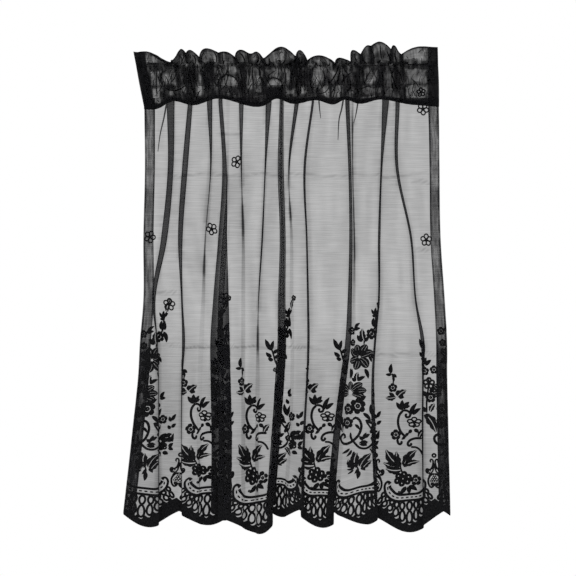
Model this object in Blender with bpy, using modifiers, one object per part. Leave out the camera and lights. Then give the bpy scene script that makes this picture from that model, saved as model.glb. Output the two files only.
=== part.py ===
"""A gathered lace valance, modelled as two pieces of cloth.

The heading is a strip folded over into a ruffle and a rod pocket, drawn up on its gather seam.
The panel is one lace sheet that hangs below it in soft knife folds, with turned side hems and a
scalloped border.

Every size and place below is in millimetres. X runs to the right as seen from the room, -Y faces
the room, +Z is up, and the origin is the middle of the gather seam. The meshes are scaled to
metres when they are made.
"""

from collections import namedtuple

import bmesh
import bpy
import numpy as np

MM = 0.001

# Driving dimensions of the cloth
FLAT_WIDTH = 592.0         # width of the lace panel before it is gathered
NET_THICKNESS = 1.0
BORDER_THICKNESS = 1.6     # the solid lace edge and the loops above it
HEM_THICKNESS = 2.0        # the turned side hems, three layers of net
HEADING_THICKNESS = 1.0
SIDE_HEM_WIDTH = 14.0
PIECE_GAP = 0.3            # clear space between the heading and the panel
TOP_EDGE_REACH = 3.0       # the panel's top edge clears the pocket this far to each side
BORDER_HEIGHT = 42.0       # from the scalloped edge up to the ladder band

# Rod pocket and ruffle
POCKET_DEPTH = 9.0         # from the pocket's middle plane to its front or back wall
SEAM_HALF_GAP = 1.1        # middle plane to either layer at the gather seam
RUFFLE_HALF_GAP = 1.4      # the same three quarters of the way up the ruffle
RUFFLE_WAVE = 8.0          # how far the ruffle's lobes lean forwards and back at the top
SEAM_WAVE = 3.0
POCKET_WAVE = 2.0
KEEL_WAVE = 1.5

# Folds of the panel
FRONT_BOW = 0.3            # how far a flat stretch bows out, as a share of its depth level
BOW_SPAN = 40.0            # a stretch narrower than this bows less
DEPTH_AT_TOP = 0.95        # the folds are pressed flatter under the heading
DEPTH_AT_HEM = 1.15
STRETCH_STEP = 12.5        # widest column in a flat stretch
ARC_STEPS = 3              # columns in each turn of a fold
SHORTEST_RUN = 1.0         # straight cloth between a fold's two turns
NOMINAL_TOP = -47.0
NOMINAL_HEM = -557.0

# Heights at which each fold was measured, and the panel's two edges there
LEVELS = (-47, -125, -218, -293, -349, -380, -454, -557)
LEFT_EDGE = (-178.5, -177.5, -179.5, -179.5, -184, -185.5, -193, -204.5)
RIGHT_EDGE = (188.5, 189, 190.5, 195.5, 198.5, 198.5, 200, 202.5)
START_LEVEL = -2.0         # depth level of the panel's left edge

# One row for each fold, from left to right. level is the depth of the cloth after the fold, with
# minus towards the room. centre is the fold's place at each of LEVELS. overlap is the width where
# three layers lie on each other, and is negative where the fold has opened into a slope.
Fold = namedtuple("Fold", "name level centre overlap")
FOLDS = (
    Fold("left_first", 5, (-145.5, -145.5, -154, -166.5, -162, -161, -160.5, -160.5),
         (10, 7.5, 8, 4.5, 1, 1, 1, 0.5)),
    Fold("left_second", -3, (-121, -127.5, -133.5, -131.5, -129.5, -131, -132, -131.5),
         (6, 7, 5.5, 2, 3.5, 2, 0.5, 0)),
    Fold("left_third", 4, (-97, -95.5, -102.5, -105, -107.5, -109, -110, -110),
         (7, 2, 0, -3.5, -5, -5, -5, -3.5)),
    Fold("broad_outer", -1.5, (-83.5, -78.5, -81, -86, -88.5, -88, -86.5, -87),
         (5, 5.5, 11, 13.5, 15.5, 16, 16.5, 16.5)),
    Fold("broad_inner", -7, (-74, -74.5, -78, -79.5, -79.5, -79, -77.5, -78),
         (-3.5, -2.5, 6, 13, 15.5, 16, 16.5, 16.5)),
    Fold("short_left", 1, (-57.5, -57.5, -55, -55, -55, -55, -55, -55),
         (6, 2, -2.5, -4, -4, -4, -4, -4)),
    Fold("slanting", -7, (-23.5, -27.5, -31.5, -36, -37, -37, -38, -38),
         (7.5, 2, 2, 1, -2, -4, -4, -4)),
    Fold("middle_outer", -1.5, (-8, -9.5, -7, -8, -8, -10, -15, -23),
         (3.5, 5.5, 5.5, 8, 9.5, 9.5, 9, 9)),
    Fold("middle_inner", 4, (-6.5, -7.5, -5, -6.5, -6.5, -8, -13, -21),
         (3.5, 5.5, 5.5, 8, 9.5, 9.5, 9, 9)),
    Fold("joining", -3, (11.5, 2, 5, 5, 6, 6, 3, -3),
         (5.5, 2, -3, -4, -4, -4, -4, -4)),
    Fold("long_thin", 5, (31.5, 21.5, 24, 25.5, 26, 25, 21, 18.5),
         (3, 3, 2, 2.5, 3, 2.5, 3, 3.5)),
    Fold("right_outer", -0.5, (74.5, 77.5, 79, 77.5, 75, 71, 62, 52.7),
         (5.5, 4, 4.4, 5.5, 7.4, 8, 8.8, 9.6)),
    Fold("right_inner", -6, (81, 81, 83, 83, 82, 78, 69.5, 60.5),
         (-2, 0, -1, -2.5, -3.5, -3.5, -3.5, -3.5)),
    Fold("right_third", 2, (122, 117, 114, 113.5, 108.5, 106.5, 107, 110.5),
         (8.5, 2.5, 3, 2, 2.5, 3, 5, 3)),
    Fold("right_last", -5, (137, 136, 154, 159.5, 168.5, 168.5, 168, 169),
         (5.5, 4, 3, 2.5, 5, 3, 2.5, 1)),
)

# Rows of the panel's grid, as nominal heights
PANEL_ROWS = (-47, -80, -108, -140, -178, -218, -255, -293, -349, -380, -417, -454, -497, -530, -557)

# Scalloped edge: each scallop runs from its own valley to the next one's, lowest at its centre.
# The places are flat distances from the left edge. They are uneven where a fold hides cloth.
Scallop = namedtuple("Scallop", "start centre valley lowest")
SCALLOPS = (
    Scallop(-21.8, 29, -542, -575),
    Scallop(73.5, 120.6, -556, -573.5),
    Scallop(158, 189, -555, -566),
    Scallop(211, 265.5, -565, -582.5),
    Scallop(300, 328, -542.5, -563),
    Scallop(355, 395, -553.5, -577),
    Scallop(431, 473, -557, -571),
    Scallop(493, 538, -562, -582),
    Scallop(583.5, 615, -555, -572.5),
    Scallop(645, 680, -540, -570),
)

# Ruffle: each lobe starts at a dip in the top edge and rises to its peak half way along
Lobe = namedtuple("Lobe", "start dip peak")
LOBES = (
    Lobe(-192.5, 16.8, 18.4),
    Lobe(-149, 3.7, 18.1),
    Lobe(-127.5, 14.9, 19.9),
    Lobe(-111, 10, 19.9),
    Lobe(-86.5, 15.6, 18.1),
    Lobe(-66.5, 10, 18.7),
    Lobe(-49, 14.9, 17.7),
    Lobe(-31.5, 8.7, 21.8),
    Lobe(9.5, 11.2, 18.7),
    Lobe(23, 5, 11.2),
    Lobe(58, 2.5, 9.3),
    Lobe(78, 3.7, 16.8),
    Lobe(90.5, 13.7, 25.5),
    Lobe(104, 23.7, 28),
    Lobe(129, 19.9, 24.3),
    Lobe(141.5, 13.7, 23.4),
    Lobe(187, 22.4, 22.4),
)
LOBE_STEP = 5.2            # widest column in a lobe
LOBE_FEWEST = 4
LOBE_FULL_WIDTH = 26.0     # a narrower lobe leans less

# Bottom edge of the rod pocket, as (x, z)
POCKET_HEM = (
    (-179, -55), (-165, -55), (-141, -45), (-118, -50), (-88, -42), (-28, -50), (-13, -42),
    (5, -48), (38, -44), (58, -49), (73, -43), (88, -48), (115, -43), (152, -49), (189, -52),
)

# The heading's two ends, as x at the top of the ruffle and at the pocket's bottom edge
HEADING_LEFT = (-192.5, -178.5)
HEADING_RIGHT = (187.0, 188.5)
HEADING_TOP = 20.0
HEADING_BOTTOM = -52.0

# The heading's section: height as a share of the ruffle (plus) or the pocket (minus), distance
# from the middle plane, and how far the gathers push that point forwards or back
RingPoint = namedtuple("RingPoint", "height offset wave")
RING = (
    RingPoint(1.0, 0.0, RUFFLE_WAVE),
    RingPoint(0.75, -RUFFLE_HALF_GAP, 0.75 * RUFFLE_WAVE + 0.25 * SEAM_WAVE),
    RingPoint(0.0, -SEAM_HALF_GAP, SEAM_WAVE),
    RingPoint(-0.18, -0.72 * POCKET_DEPTH, POCKET_WAVE),
    RingPoint(-0.5, -POCKET_DEPTH, POCKET_WAVE),
    RingPoint(-0.82, -0.72 * POCKET_DEPTH, POCKET_WAVE),
    RingPoint(-1.0, 0.0, KEEL_WAVE),
    RingPoint(-0.82, 0.72 * POCKET_DEPTH, POCKET_WAVE),
    RingPoint(-0.5, POCKET_DEPTH, POCKET_WAVE),
    RingPoint(-0.18, 0.72 * POCKET_DEPTH, POCKET_WAVE),
    RingPoint(0.0, SEAM_HALF_GAP, SEAM_WAVE),
    RingPoint(0.75, RUFFLE_HALF_GAP, 0.75 * RUFFLE_WAVE + 0.25 * SEAM_WAVE),
)


def smooth_curve(knots, values, at):
    """Cubic through the knots, each slope being the mean slope of the knots beside it."""
    order = np.argsort(knots)
    x = np.asarray(knots, float)[order]
    y = np.asarray(values, float)[order]
    slope = np.gradient(y, x)
    at = np.clip(np.asarray(at, float), x[0], x[-1])
    i = np.clip(np.searchsorted(x, at) - 1, 0, len(x) - 2)
    width = x[i + 1] - x[i]
    t = (at - x[i]) / width
    start = (2 * t**3 - 3 * t**2 + 1) * y[i] + (t**3 - 2 * t**2 + t) * width * slope[i]
    end = (3 * t**2 - 2 * t**3) * y[i + 1] + (t**3 - t**2) * width * slope[i + 1]
    return start + end


def turn_of_fold(overlap, depth):
    """Angle and radius of a fold's two turns, and the straight run between them.

    A full fold turns by half a circle and runs back as far as the overlap asks. A slack one turns
    by less, and its slanting run and two turns still cross the same depth.
    """
    radius = depth / 4
    if overlap >= 2 * radius + SHORTEST_RUN:
        return np.pi, radius, overlap - 2 * radius
    angles = np.radians(np.linspace(35, 180, 600))
    runs = 2 * radius / np.tan(angles / 2) + SHORTEST_RUN * (angles / np.pi)**3
    radii = (depth - runs * np.sin(angles)) / (2 - 2 * np.cos(angles))
    beyond = np.where(angles > np.pi / 2, 2 * radii * (1 - np.sin(angles)), 0)
    overlaps = beyond - runs * np.cos(angles)
    found = [np.interp(overlap, overlaps, values) for values in (angles, radii, runs)]
    return tuple(found)


def fold_outline(overlap, depth):
    """Plan of one fold about its centre: a turn, a run, and the same turn the other way."""
    angle, radius, run = turn_of_fold(overlap, abs(depth))
    turned = np.linspace(0, angle, ARC_STEPS + 1)
    arc = radius * np.column_stack((np.sin(turned), 1 - np.cos(turned)))
    centre = arc[-1] + 0.5 * run * np.array((np.cos(angle), np.sin(angle)))
    first = arc - centre
    outline = np.vstack((first, -first[::-1]))
    outline[:, 1] *= np.sign(depth)
    return outline


def stretch_outline(start, end, level, steps):
    """Plan of the cloth between two folds: level at both ends, bowed out in the middle."""
    t = np.linspace(0, 1, steps + 1)[1:-1]
    bow = FRONT_BOW * level * min(1.0, abs(end[0] - start[0]) / BOW_SPAN)
    x = start[0] + (end[0] - start[0]) * t
    y = start[1] + (end[1] - start[1]) * t + bow * (1 - np.cos(2 * np.pi * t)) / 2
    return np.column_stack((x, y))


def panel_section(height, stretch_steps):
    """Plan of the panel at one height, as points from its left edge to its right edge."""
    depth_scale = np.interp(height, (NOMINAL_HEM, NOMINAL_TOP), (DEPTH_AT_HEM, DEPTH_AT_TOP))
    level = START_LEVEL * depth_scale
    last = np.array((smooth_curve(LEVELS, LEFT_EDGE, height), level))
    parts = [last[None, :]]
    for fold, steps in zip(FOLDS, stretch_steps):
        next_level = fold.level * depth_scale
        x = smooth_curve(LEVELS, fold.centre, height)
        overlap = smooth_curve(LEVELS, fold.overlap, height)
        outline = fold_outline(overlap, next_level - level)
        outline = outline + np.array((x, (level + next_level) / 2))
        parts.append(stretch_outline(last, outline[0], level, steps))
        parts.append(outline)
        last = outline[-1]
        level = next_level
    right = np.array((smooth_curve(LEVELS, RIGHT_EDGE, height), level))
    parts.append(stretch_outline(last, right, level, stretch_steps[-1]))
    parts.append(right[None, :])
    return np.vstack(parts)


def stretch_widths(height):
    """Width of each flat stretch between the folds at one height."""
    x = panel_section(height, [1] * (len(FOLDS) + 1))[:, 0]
    points_in_fold = 2 * (ARC_STEPS + 1)
    starts = np.concatenate(((0,), np.arange(len(FOLDS)) * points_in_fold + points_in_fold))
    return x[starts + 1] - x[starts]


def stretch_step_counts():
    """Columns in each flat stretch, from its widest place."""
    widest = np.maximum(stretch_widths(NOMINAL_TOP), stretch_widths(NOMINAL_HEM))
    return [max(2, int(np.ceil(width / STRETCH_STEP))) for width in widest]


def scalloped_edge(flat):
    """Height of the hem at each flat position: half parabola, half cosine, below the valleys."""
    starts, centres, valleys, lowest = np.array(SCALLOPS, float).T
    i = np.clip(np.searchsorted(starts, flat, side="right") - 1, 0, len(SCALLOPS) - 2)
    before = (flat - starts[i]) / (centres[i] - starts[i])
    after = (flat - centres[i]) / (starts[i + 1] - centres[i])
    t = np.where(flat < centres[i], 0.5 * before, 0.5 + 0.5 * after)
    valley = valleys[i] + (valleys[i + 1] - valleys[i]) * t
    middle = (valleys[i] + valleys[i + 1]) / 2
    drop = 2 * t * (1 - t) + (1 - np.cos(2 * np.pi * t)) / 4
    return valley + (lowest[i] - middle) * drop


def pocket_hem(x):
    """Height of the rod pocket's bottom edge."""
    knots = np.array(POCKET_HEM, float)
    return smooth_curve(knots[:, 0], knots[:, 1], x)


def panel_top(x):
    """Height of the panel's upper edge: under the pocket's wall, also where that edge slopes."""
    window = np.linspace(-TOP_EDGE_REACH, TOP_EDGE_REACH, 5)
    lowest = pocket_hem(x[:, None] + window).min(axis=1)
    return lowest - HEADING_THICKNESS / 2 - PIECE_GAP


def lobe_stations():
    """Places along the heading: (share of its width, top of the ruffle, side the lobe leans to)."""
    left = LOBES[0].start
    width = LOBES[-1].start - left
    stations = []
    for index in range(len(LOBES) - 1):
        lobe = LOBES[index]
        after = LOBES[index + 1]
        steps = max(LOBE_FEWEST, int(round((after.start - lobe.start) / LOBE_STEP)))
        t = np.arange(steps) / steps
        top = lobe.dip + (after.dip - lobe.dip) * t
        top = top + (lobe.peak - (lobe.dip + after.dip) / 2) * np.sin(np.pi * t)**0.7
        lean = np.sin(np.pi * t) * (-1)**index
        lean = lean * min(1.0, (after.start - lobe.start) / LOBE_FULL_WIDTH)
        share = (lobe.start + (after.start - lobe.start) * t - left) / width
        stations.append(np.column_stack((share, top, lean)))
    stations.append(np.array([[1.0, LOBES[-1].dip, 0.0]]))
    return np.vstack(stations)


def grid_mesh(name, points):
    """Mesh of a grid of points: Blender's own grid, with each vertex moved to its point.

    points holds one row for each step up the grid, and one (x, y, z) in millimetres for each
    step along it. Returns the mesh and each vertex's (row, column).
    """
    rows, columns = points.shape[:2]
    sheet = bmesh.new()
    bmesh.ops.create_grid(sheet, x_segments=columns - 1, y_segments=rows - 1, size=0.5)
    places = []
    for vertex in sheet.verts:
        column = int(round((vertex.co.x + 0.5) * (columns - 1)))
        row = int(round((vertex.co.y + 0.5) * (rows - 1)))
        vertex.co = points[row, column] * MM
        places.append((row, column))
    mesh = bpy.data.meshes.new(name)
    sheet.to_mesh(mesh)
    sheet.free()
    return mesh, places


def weld(mesh, distance):
    """Join vertices that lie on each other, such as the two edges of a rolled grid."""
    sheet = bmesh.new()
    sheet.from_mesh(mesh)
    bmesh.ops.remove_doubles(sheet, verts=sheet.verts, dist=distance)
    bmesh.ops.recalc_face_normals(sheet, faces=sheet.faces)
    sheet.to_mesh(mesh)
    sheet.free()


def cloth_material(name, colour, roughness):
    """Plain cloth finish."""
    material = bpy.data.materials.new(name)
    material.use_nodes = True
    shader = material.node_tree.nodes["Principled BSDF"]
    shader.inputs["Base Color"].default_value = (*colour, 1.0)
    shader.inputs["Roughness"].default_value = roughness
    shader.inputs["Metallic"].default_value = 0.0
    material.diffuse_color = (*colour, 1.0)
    return material


def cloth_object(name, mesh, material, collection, thickness):
    """Object of an open surface that Solidify gives its thickness, half to each side."""
    mesh.materials.append(material)
    cloth = bpy.data.objects.new(name, mesh)
    collection.objects.link(cloth)
    wall = cloth.modifiers.new("Cloth thickness", "SOLIDIFY")
    wall.thickness = thickness * MM
    wall.offset = 0.0
    return cloth, wall


def build_panel(collection):
    """The hanging lace sheet."""
    steps = stretch_step_counts()
    sections = [panel_section(height, steps) for height in PANEL_ROWS]
    columns = len(sections[0])
    hem_section = sections[-1]
    pieces = np.linalg.norm(np.diff(hem_section, axis=0), axis=1)
    along = np.concatenate(((0.0,), np.cumsum(pieces)))
    flat = along * FLAT_WIDTH / along[-1]
    top = panel_top(sections[0][:, 0])
    hem = scalloped_edge(flat)
    points = np.zeros((len(PANEL_ROWS), columns, 3))
    for row, height in enumerate(PANEL_ROWS):
        share = (height - NOMINAL_TOP) / (NOMINAL_HEM - NOMINAL_TOP)
        points[row, :, :2] = sections[row]
        points[row, :, 2] = top + share * (hem - top)
    mesh, places = grid_mesh("panel", points)
    material = cloth_material("black_lace_net", (0.02, 0.02, 0.022), 0.8)
    panel, wall = cloth_object("panel", mesh, material, collection, HEM_THICKNESS)
    wall.thickness_vertex_group = 0.0
    wall.vertex_group = "thickness"
    group = panel.vertex_groups.new(name="thickness")
    for index, (row, column) in enumerate(places):
        thickness = NET_THICKNESS
        if points[row, column, 2] - hem[column] <= BORDER_HEIGHT:
            thickness = BORDER_THICKNESS
        if min(flat[column], FLAT_WIDTH - flat[column]) <= SIDE_HEM_WIDTH:
            thickness = HEM_THICKNESS
        group.add([index], thickness / HEM_THICKNESS, "REPLACE")
    return panel


def build_heading(collection):
    """The ruffle and rod pocket: one rolled strip with a clear way through along X."""
    stations = lobe_stations()
    points = np.zeros((len(RING) + 1, len(stations), 3))
    for row, ring in enumerate(RING + (RING[0],)):
        guess = HEADING_LEFT[1] + stations[:, 0] * (HEADING_RIGHT[1] - HEADING_LEFT[1])
        if ring.height >= 0:
            z = ring.height * stations[:, 1]
        else:
            z = -ring.height * pocket_hem(guess)
        left = np.interp(z, (HEADING_BOTTOM, HEADING_TOP), HEADING_LEFT[::-1])
        right = np.interp(z, (HEADING_BOTTOM, HEADING_TOP), HEADING_RIGHT[::-1])
        x = left + stations[:, 0] * (right - left)
        y = ring.wave * stations[:, 2]
        slant = np.arctan(np.gradient(y, x))
        points[row, :, 0] = x - ring.offset * np.sin(slant) * np.sin(np.pi * stations[:, 0])
        points[row, :, 1] = y + ring.offset * np.cos(slant)
        points[row, :, 2] = z
    mesh, _ = grid_mesh("heading", points)
    weld(mesh, 0.001 * MM)
    material = cloth_material("black_gathered_net", (0.015, 0.015, 0.017), 0.85)
    heading, _ = cloth_object("heading", mesh, material, collection, HEADING_THICKNESS)
    return heading


def clear_scene():
    """Remove the objects that a new file starts with."""
    for item in list(bpy.data.objects):
        bpy.data.objects.remove(item, do_unlink=True)


def main():
    """Build both pieces in a collection of their own."""
    clear_scene()
    collection = bpy.data.collections.new("lace_valance")
    bpy.context.scene.collection.children.link(collection)
    build_heading(collection)
    build_panel(collection)


main()
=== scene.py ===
# %% [markdown]
# A gathered lace valance
#
# The real object is one piece of black, see-through, warp-knitted net. Its top is folded over and
# sewn into a rod pocket with a ruffle above it, its sides are turned in and hemmed, and the knit
# grows dense at the bottom, where it makes floral sprays and a scalloped border. We load the
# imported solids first, because every piece below takes its place from them.

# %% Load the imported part
from collections import namedtuple

import bpy
import numpy as np
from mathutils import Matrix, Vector


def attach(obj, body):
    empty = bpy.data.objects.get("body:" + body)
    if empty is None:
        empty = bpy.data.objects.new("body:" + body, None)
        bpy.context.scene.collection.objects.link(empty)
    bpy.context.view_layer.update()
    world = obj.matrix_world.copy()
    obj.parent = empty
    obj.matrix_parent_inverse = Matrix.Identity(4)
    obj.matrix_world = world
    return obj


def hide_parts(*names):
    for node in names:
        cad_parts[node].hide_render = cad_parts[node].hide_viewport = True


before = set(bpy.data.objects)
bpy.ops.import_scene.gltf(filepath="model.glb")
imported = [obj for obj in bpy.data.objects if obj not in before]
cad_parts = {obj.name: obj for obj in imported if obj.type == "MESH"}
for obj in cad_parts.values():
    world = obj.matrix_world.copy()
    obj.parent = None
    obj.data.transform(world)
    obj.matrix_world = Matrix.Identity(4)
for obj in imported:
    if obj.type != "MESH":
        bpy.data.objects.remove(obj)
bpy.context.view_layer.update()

print("solids to dress:", sorted(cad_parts))

# %% [markdown]
# Sizes of the cloth
#
# All sizes are in millimetres and turn into metres when a mesh is made. A point of the cloth is
# named by its place before hanging: s is the distance from the left edge, and v is the height
# above the line of the valleys between the scallops. Lace is drawn in s and v, where it repeats,
# and is hung afterwards, so each motif bends and hides in the folds by itself.

# %% Sizes
MM = 0.001
FLAT_WIDTH = 592.0
VALLEY_LINE = -555.0
SCALLOP_DEPTH = 28.0
REPEAT = 87.0
NET_TOP = 514.0

# Scallops as in the solids: flat places of the valley and of the lowest point, and their heights.
# These forty numbers were fitted to the photographed hem by searches and then rounded.
Scallop = namedtuple("Scallop", "start centre valley lowest")
SCALLOPS = (
    Scallop(-21.8, 29, -542, -575),
    Scallop(73.5, 120.6, -556, -573.5),
    Scallop(158, 189, -555, -566),
    Scallop(211, 265.5, -565, -582.5),
    Scallop(300, 328, -542.5, -563),
    Scallop(355, 395, -553.5, -577),
    Scallop(431, 473, -557, -571),
    Scallop(493, 538, -562, -582),
    Scallop(583.5, 615, -555, -572.5),
    Scallop(645, 680, -540, -570),
)
STARTS, CENTRES, VALLEYS, LOWEST = np.array(SCALLOPS, float).T
print(len(SCALLOPS), "scallops, each", REPEAT, "mm of lace, less where a fold hides some")

# %% [markdown]
# The folds
#
# Every fold is a run of cloth that turns back on itself and forwards again, so three layers lie
# over each other and look three times as dark. A fold is described by the depth level that the
# cloth goes to, its place, and the width of its overlap, at eight heights. These are the same
# values as in the solids. A negative overlap is a fold that has opened into a slope.

# %% Fold table
LEVELS = (-47, -125, -218, -293, -349, -380, -454, -557)
LEFT_EDGE = (-178.5, -177.5, -179.5, -179.5, -184, -185.5, -193, -204.5)
RIGHT_EDGE = (188.5, 189, 190.5, 195.5, 198.5, 198.5, 200, 202.5)
START_LEVEL = -2.0
NOMINAL_TOP = -47.0
NOMINAL_HEM = -557.0
DEPTH_AT_TOP = 0.95
DEPTH_AT_HEM = 1.15
FRONT_BOW = 0.3
BOW_SPAN = 40.0
SHORTEST_RUN = 1.0

Fold = namedtuple("Fold", "level centre overlap")
FOLDS = (
    Fold(5, (-145.5, -145.5, -154, -166.5, -162, -161, -160.5, -160.5),
         (10, 7.5, 8, 4.5, 1, 1, 1, 0.5)),
    Fold(-3, (-121, -127.5, -133.5, -131.5, -129.5, -131, -132, -131.5),
         (6, 7, 5.5, 2, 3.5, 2, 0.5, 0)),
    Fold(4, (-97, -95.5, -102.5, -105, -107.5, -109, -110, -110),
         (7, 2, 0, -3.5, -5, -5, -5, -3.5)),
    Fold(-1.5, (-83.5, -78.5, -81, -86, -88.5, -88, -86.5, -87),
         (5, 5.5, 11, 13.5, 15.5, 16, 16.5, 16.5)),
    Fold(-7, (-74, -74.5, -78, -79.5, -79.5, -79, -77.5, -78),
         (-3.5, -2.5, 6, 13, 15.5, 16, 16.5, 16.5)),
    Fold(1, (-57.5, -57.5, -55, -55, -55, -55, -55, -55),
         (6, 2, -2.5, -4, -4, -4, -4, -4)),
    Fold(-7, (-23.5, -27.5, -31.5, -36, -37, -37, -38, -38),
         (7.5, 2, 2, 1, -2, -4, -4, -4)),
    Fold(-1.5, (-8, -9.5, -7, -8, -8, -10, -15, -23),
         (3.5, 5.5, 5.5, 8, 9.5, 9.5, 9, 9)),
    Fold(4, (-6.5, -7.5, -5, -6.5, -6.5, -8, -13, -21),
         (3.5, 5.5, 5.5, 8, 9.5, 9.5, 9, 9)),
    Fold(-3, (11.5, 2, 5, 5, 6, 6, 3, -3),
         (5.5, 2, -3, -4, -4, -4, -4, -4)),
    Fold(5, (31.5, 21.5, 24, 25.5, 26, 25, 21, 18.5),
         (3, 3, 2, 2.5, 3, 2.5, 3, 3.5)),
    Fold(-0.5, (74.5, 77.5, 79, 77.5, 75, 71, 62, 52.7),
         (5.5, 4, 4.4, 5.5, 7.4, 8, 8.8, 9.6)),
    Fold(-6, (81, 81, 83, 83, 82, 78, 69.5, 60.5),
         (-2, 0, -1, -2.5, -3.5, -3.5, -3.5, -3.5)),
    Fold(2, (122, 117, 114, 113.5, 108.5, 106.5, 107, 110.5),
         (8.5, 2.5, 3, 2, 2.5, 3, 5, 3)),
    Fold(-5, (137, 136, 154, 159.5, 168.5, 168.5, 168, 169),
         (5.5, 4, 3, 2.5, 5, 3, 2.5, 1)),
)
print(len(FOLDS), "folds")


# %% Plan of the hanging cloth at one height
def smooth_curve(knots, values, at):
    """Cubic through the knots, each slope being the mean slope of the knots beside it."""
    order = np.argsort(knots)
    x = np.asarray(knots, float)[order]
    y = np.asarray(values, float)[order]
    slope = np.gradient(y, x)
    at = np.clip(np.asarray(at, float), x[0], x[-1])
    i = np.clip(np.searchsorted(x, at) - 1, 0, len(x) - 2)
    width = x[i + 1] - x[i]
    t = (at - x[i]) / width
    start = (2 * t**3 - 3 * t**2 + 1) * y[i] + (t**3 - 2 * t**2 + t) * width * slope[i]
    end = (3 * t**2 - 2 * t**3) * y[i + 1] + (t**3 - t**2) * width * slope[i + 1]
    return start + end


def fold_outline(overlap, depth, steps):
    """A turn through an angle, a straight run back, and the same turn the other way.

    A full fold turns by half a circle of a quarter of the depth. A slack one turns by less, and
    its slanting run and two turns still cross the same depth.
    """
    radius = abs(depth) / 4
    angle, run = np.pi, overlap - 2 * radius
    if overlap < 2 * radius + SHORTEST_RUN:
        angles = np.radians(np.linspace(35, 180, 600))
        runs = 2 * radius / np.tan(angles / 2) + SHORTEST_RUN * (angles / np.pi)**3
        radii = (abs(depth) - runs * np.sin(angles)) / (2 - 2 * np.cos(angles))
        beyond = np.where(angles > np.pi / 2, 2 * radii * (1 - np.sin(angles)), 0)
        overlaps = beyond - runs * np.cos(angles)
        angle, radius, run = [np.interp(overlap, overlaps, a) for a in (angles, radii, runs)]
    turned = np.linspace(0, angle, steps + 1)
    arc = radius * np.column_stack((np.sin(turned), 1 - np.cos(turned)))
    centre = arc[-1] + 0.5 * run * np.array((np.cos(angle), np.sin(angle)))
    first = arc - centre
    outline = np.vstack((first, -first[::-1]))
    outline[:, 1] *= np.sign(depth)
    return outline


def plan_at(height, arc_steps=7, stretch_steps=8):
    """Plan of the cloth at one height, from its left edge to its right: folds joined by bows."""
    scale = np.interp(height, (NOMINAL_HEM, NOMINAL_TOP), (DEPTH_AT_HEM, DEPTH_AT_TOP))
    level = START_LEVEL * scale
    last = np.array((smooth_curve(LEVELS, LEFT_EDGE, height), level))
    end = np.array((smooth_curve(LEVELS, RIGHT_EDGE, height), level))
    parts = [last[None, :]]
    t = np.linspace(0, 1, stretch_steps + 1)[1:-1, None]
    for fold in FOLDS + (None,):
        if fold is None:
            outline = np.array([[end[0], level]])
            next_level = level
        else:
            next_level = fold.level * scale
            x = smooth_curve(LEVELS, fold.centre, height)
            overlap = smooth_curve(LEVELS, fold.overlap, height)
            outline = fold_outline(overlap, next_level - level, arc_steps)
            outline = outline + np.array((x, (level + next_level) / 2))
        bow = FRONT_BOW * level * min(1.0, abs(outline[0, 0] - last[0]) / BOW_SPAN)
        stretch = last + (outline[0] - last) * t
        stretch[:, 1] += bow * (1 - np.cos(2 * np.pi * t[:, 0])) / 2
        parts.extend((stretch, outline))
        last = outline[-1]
        level = next_level
    return np.vstack(parts)


# %% [markdown]
# From the flat cloth to the hanging cloth
#
# We walk along the plan at each of some two hundred heights and note how far along the cloth
# every point is. Read the other way round, that is a table of where a flat place ends up. The
# table also keeps how steeply the cloth turns away from the front, because net that is crossed
# at a slant holds back more light. From it, a soft band of painted shade is also laid on the net
# beside each fold.

# %% Drape tables
HEIGHTS = np.arange(-590.0, -30.0, 2.8)
PLANS = np.array([plan_at(height) for height in HEIGHTS])
steps_along = np.linalg.norm(np.diff(PLANS, axis=1), axis=2)
LENGTHS = np.concatenate((np.zeros((len(HEIGHTS), 1)), np.cumsum(steps_along, axis=1)), axis=1)
FLATS = LENGTHS * FLAT_WIDTH / LENGTHS[:, -1:]
FLAT_STEP = 0.5
FLAT_GRID = np.arange(0.0, FLAT_WIDTH + FLAT_STEP / 2, FLAT_STEP)
HUNG_X = np.array([np.interp(FLAT_GRID, f, p[:, 0]) for f, p in zip(FLATS, PLANS)])
HUNG_Y = np.array([np.interp(FLAT_GRID, f, p[:, 1]) for f, p in zip(FLATS, PLANS)])

along_x = np.gradient(HUNG_X, axis=1)
along_y = np.gradient(HUNG_Y, axis=1)
length = np.hypot(along_x, along_y)
FACE_X = along_y / length
FACE_Y = -along_x / length
print("drape table:", HUNG_X.shape, "mean length", round(float(LENGTHS[:, -1].mean()), 1), "mm")

# %% How much net the eye meets, and painted shade beside the folds
STEEPEST = 3.0
NEAR_REACH, NEAR_WEIGHT = 1.3, 2.6
# The wide bell is painted shade: it darkens the net in a soft band about 13 mm to each side of every
# fold. The near bell darkens the rims of each fold, where the net is crossed edge-on.
PAINTED_SHADE_REACH, PAINTED_SHADE_WEIGHT = 13.0, 0.9
LEVEL_NET = 0.98
SLANT_WEIGHT = 0.4


def bell(distance, width):
    """Bell curve of a distance, whose values add up to one along the flat grid."""
    return np.exp(-(distance / width)**2) / (width * np.pi**0.5) * FLAT_STEP


slant = np.minimum(1 / np.maximum(np.abs(FACE_Y), 0.05), STEEPEST)
reach = np.arange(-60, 61) * FLAT_STEP
# spread holds both bells: the darker rims of the folds and the painted shade beside them.
spread = NEAR_WEIGHT * bell(reach, NEAR_REACH) + PAINTED_SHADE_WEIGHT * bell(reach, PAINTED_SHADE_REACH)
steep = ((slant - 1) / 2)**3
# Darker rims of the folds, and painted shade in a soft band beside each fold.
rims_and_painted_shade = np.array([np.convolve(row, spread, mode="same") for row in steep])
# Net met by the eye, with the painted shade beside the folds added.
NET_AND_PAINTED_SHADE = LEVEL_NET + SLANT_WEIGHT * (slant - 1)**2 + rims_and_painted_shade

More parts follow.
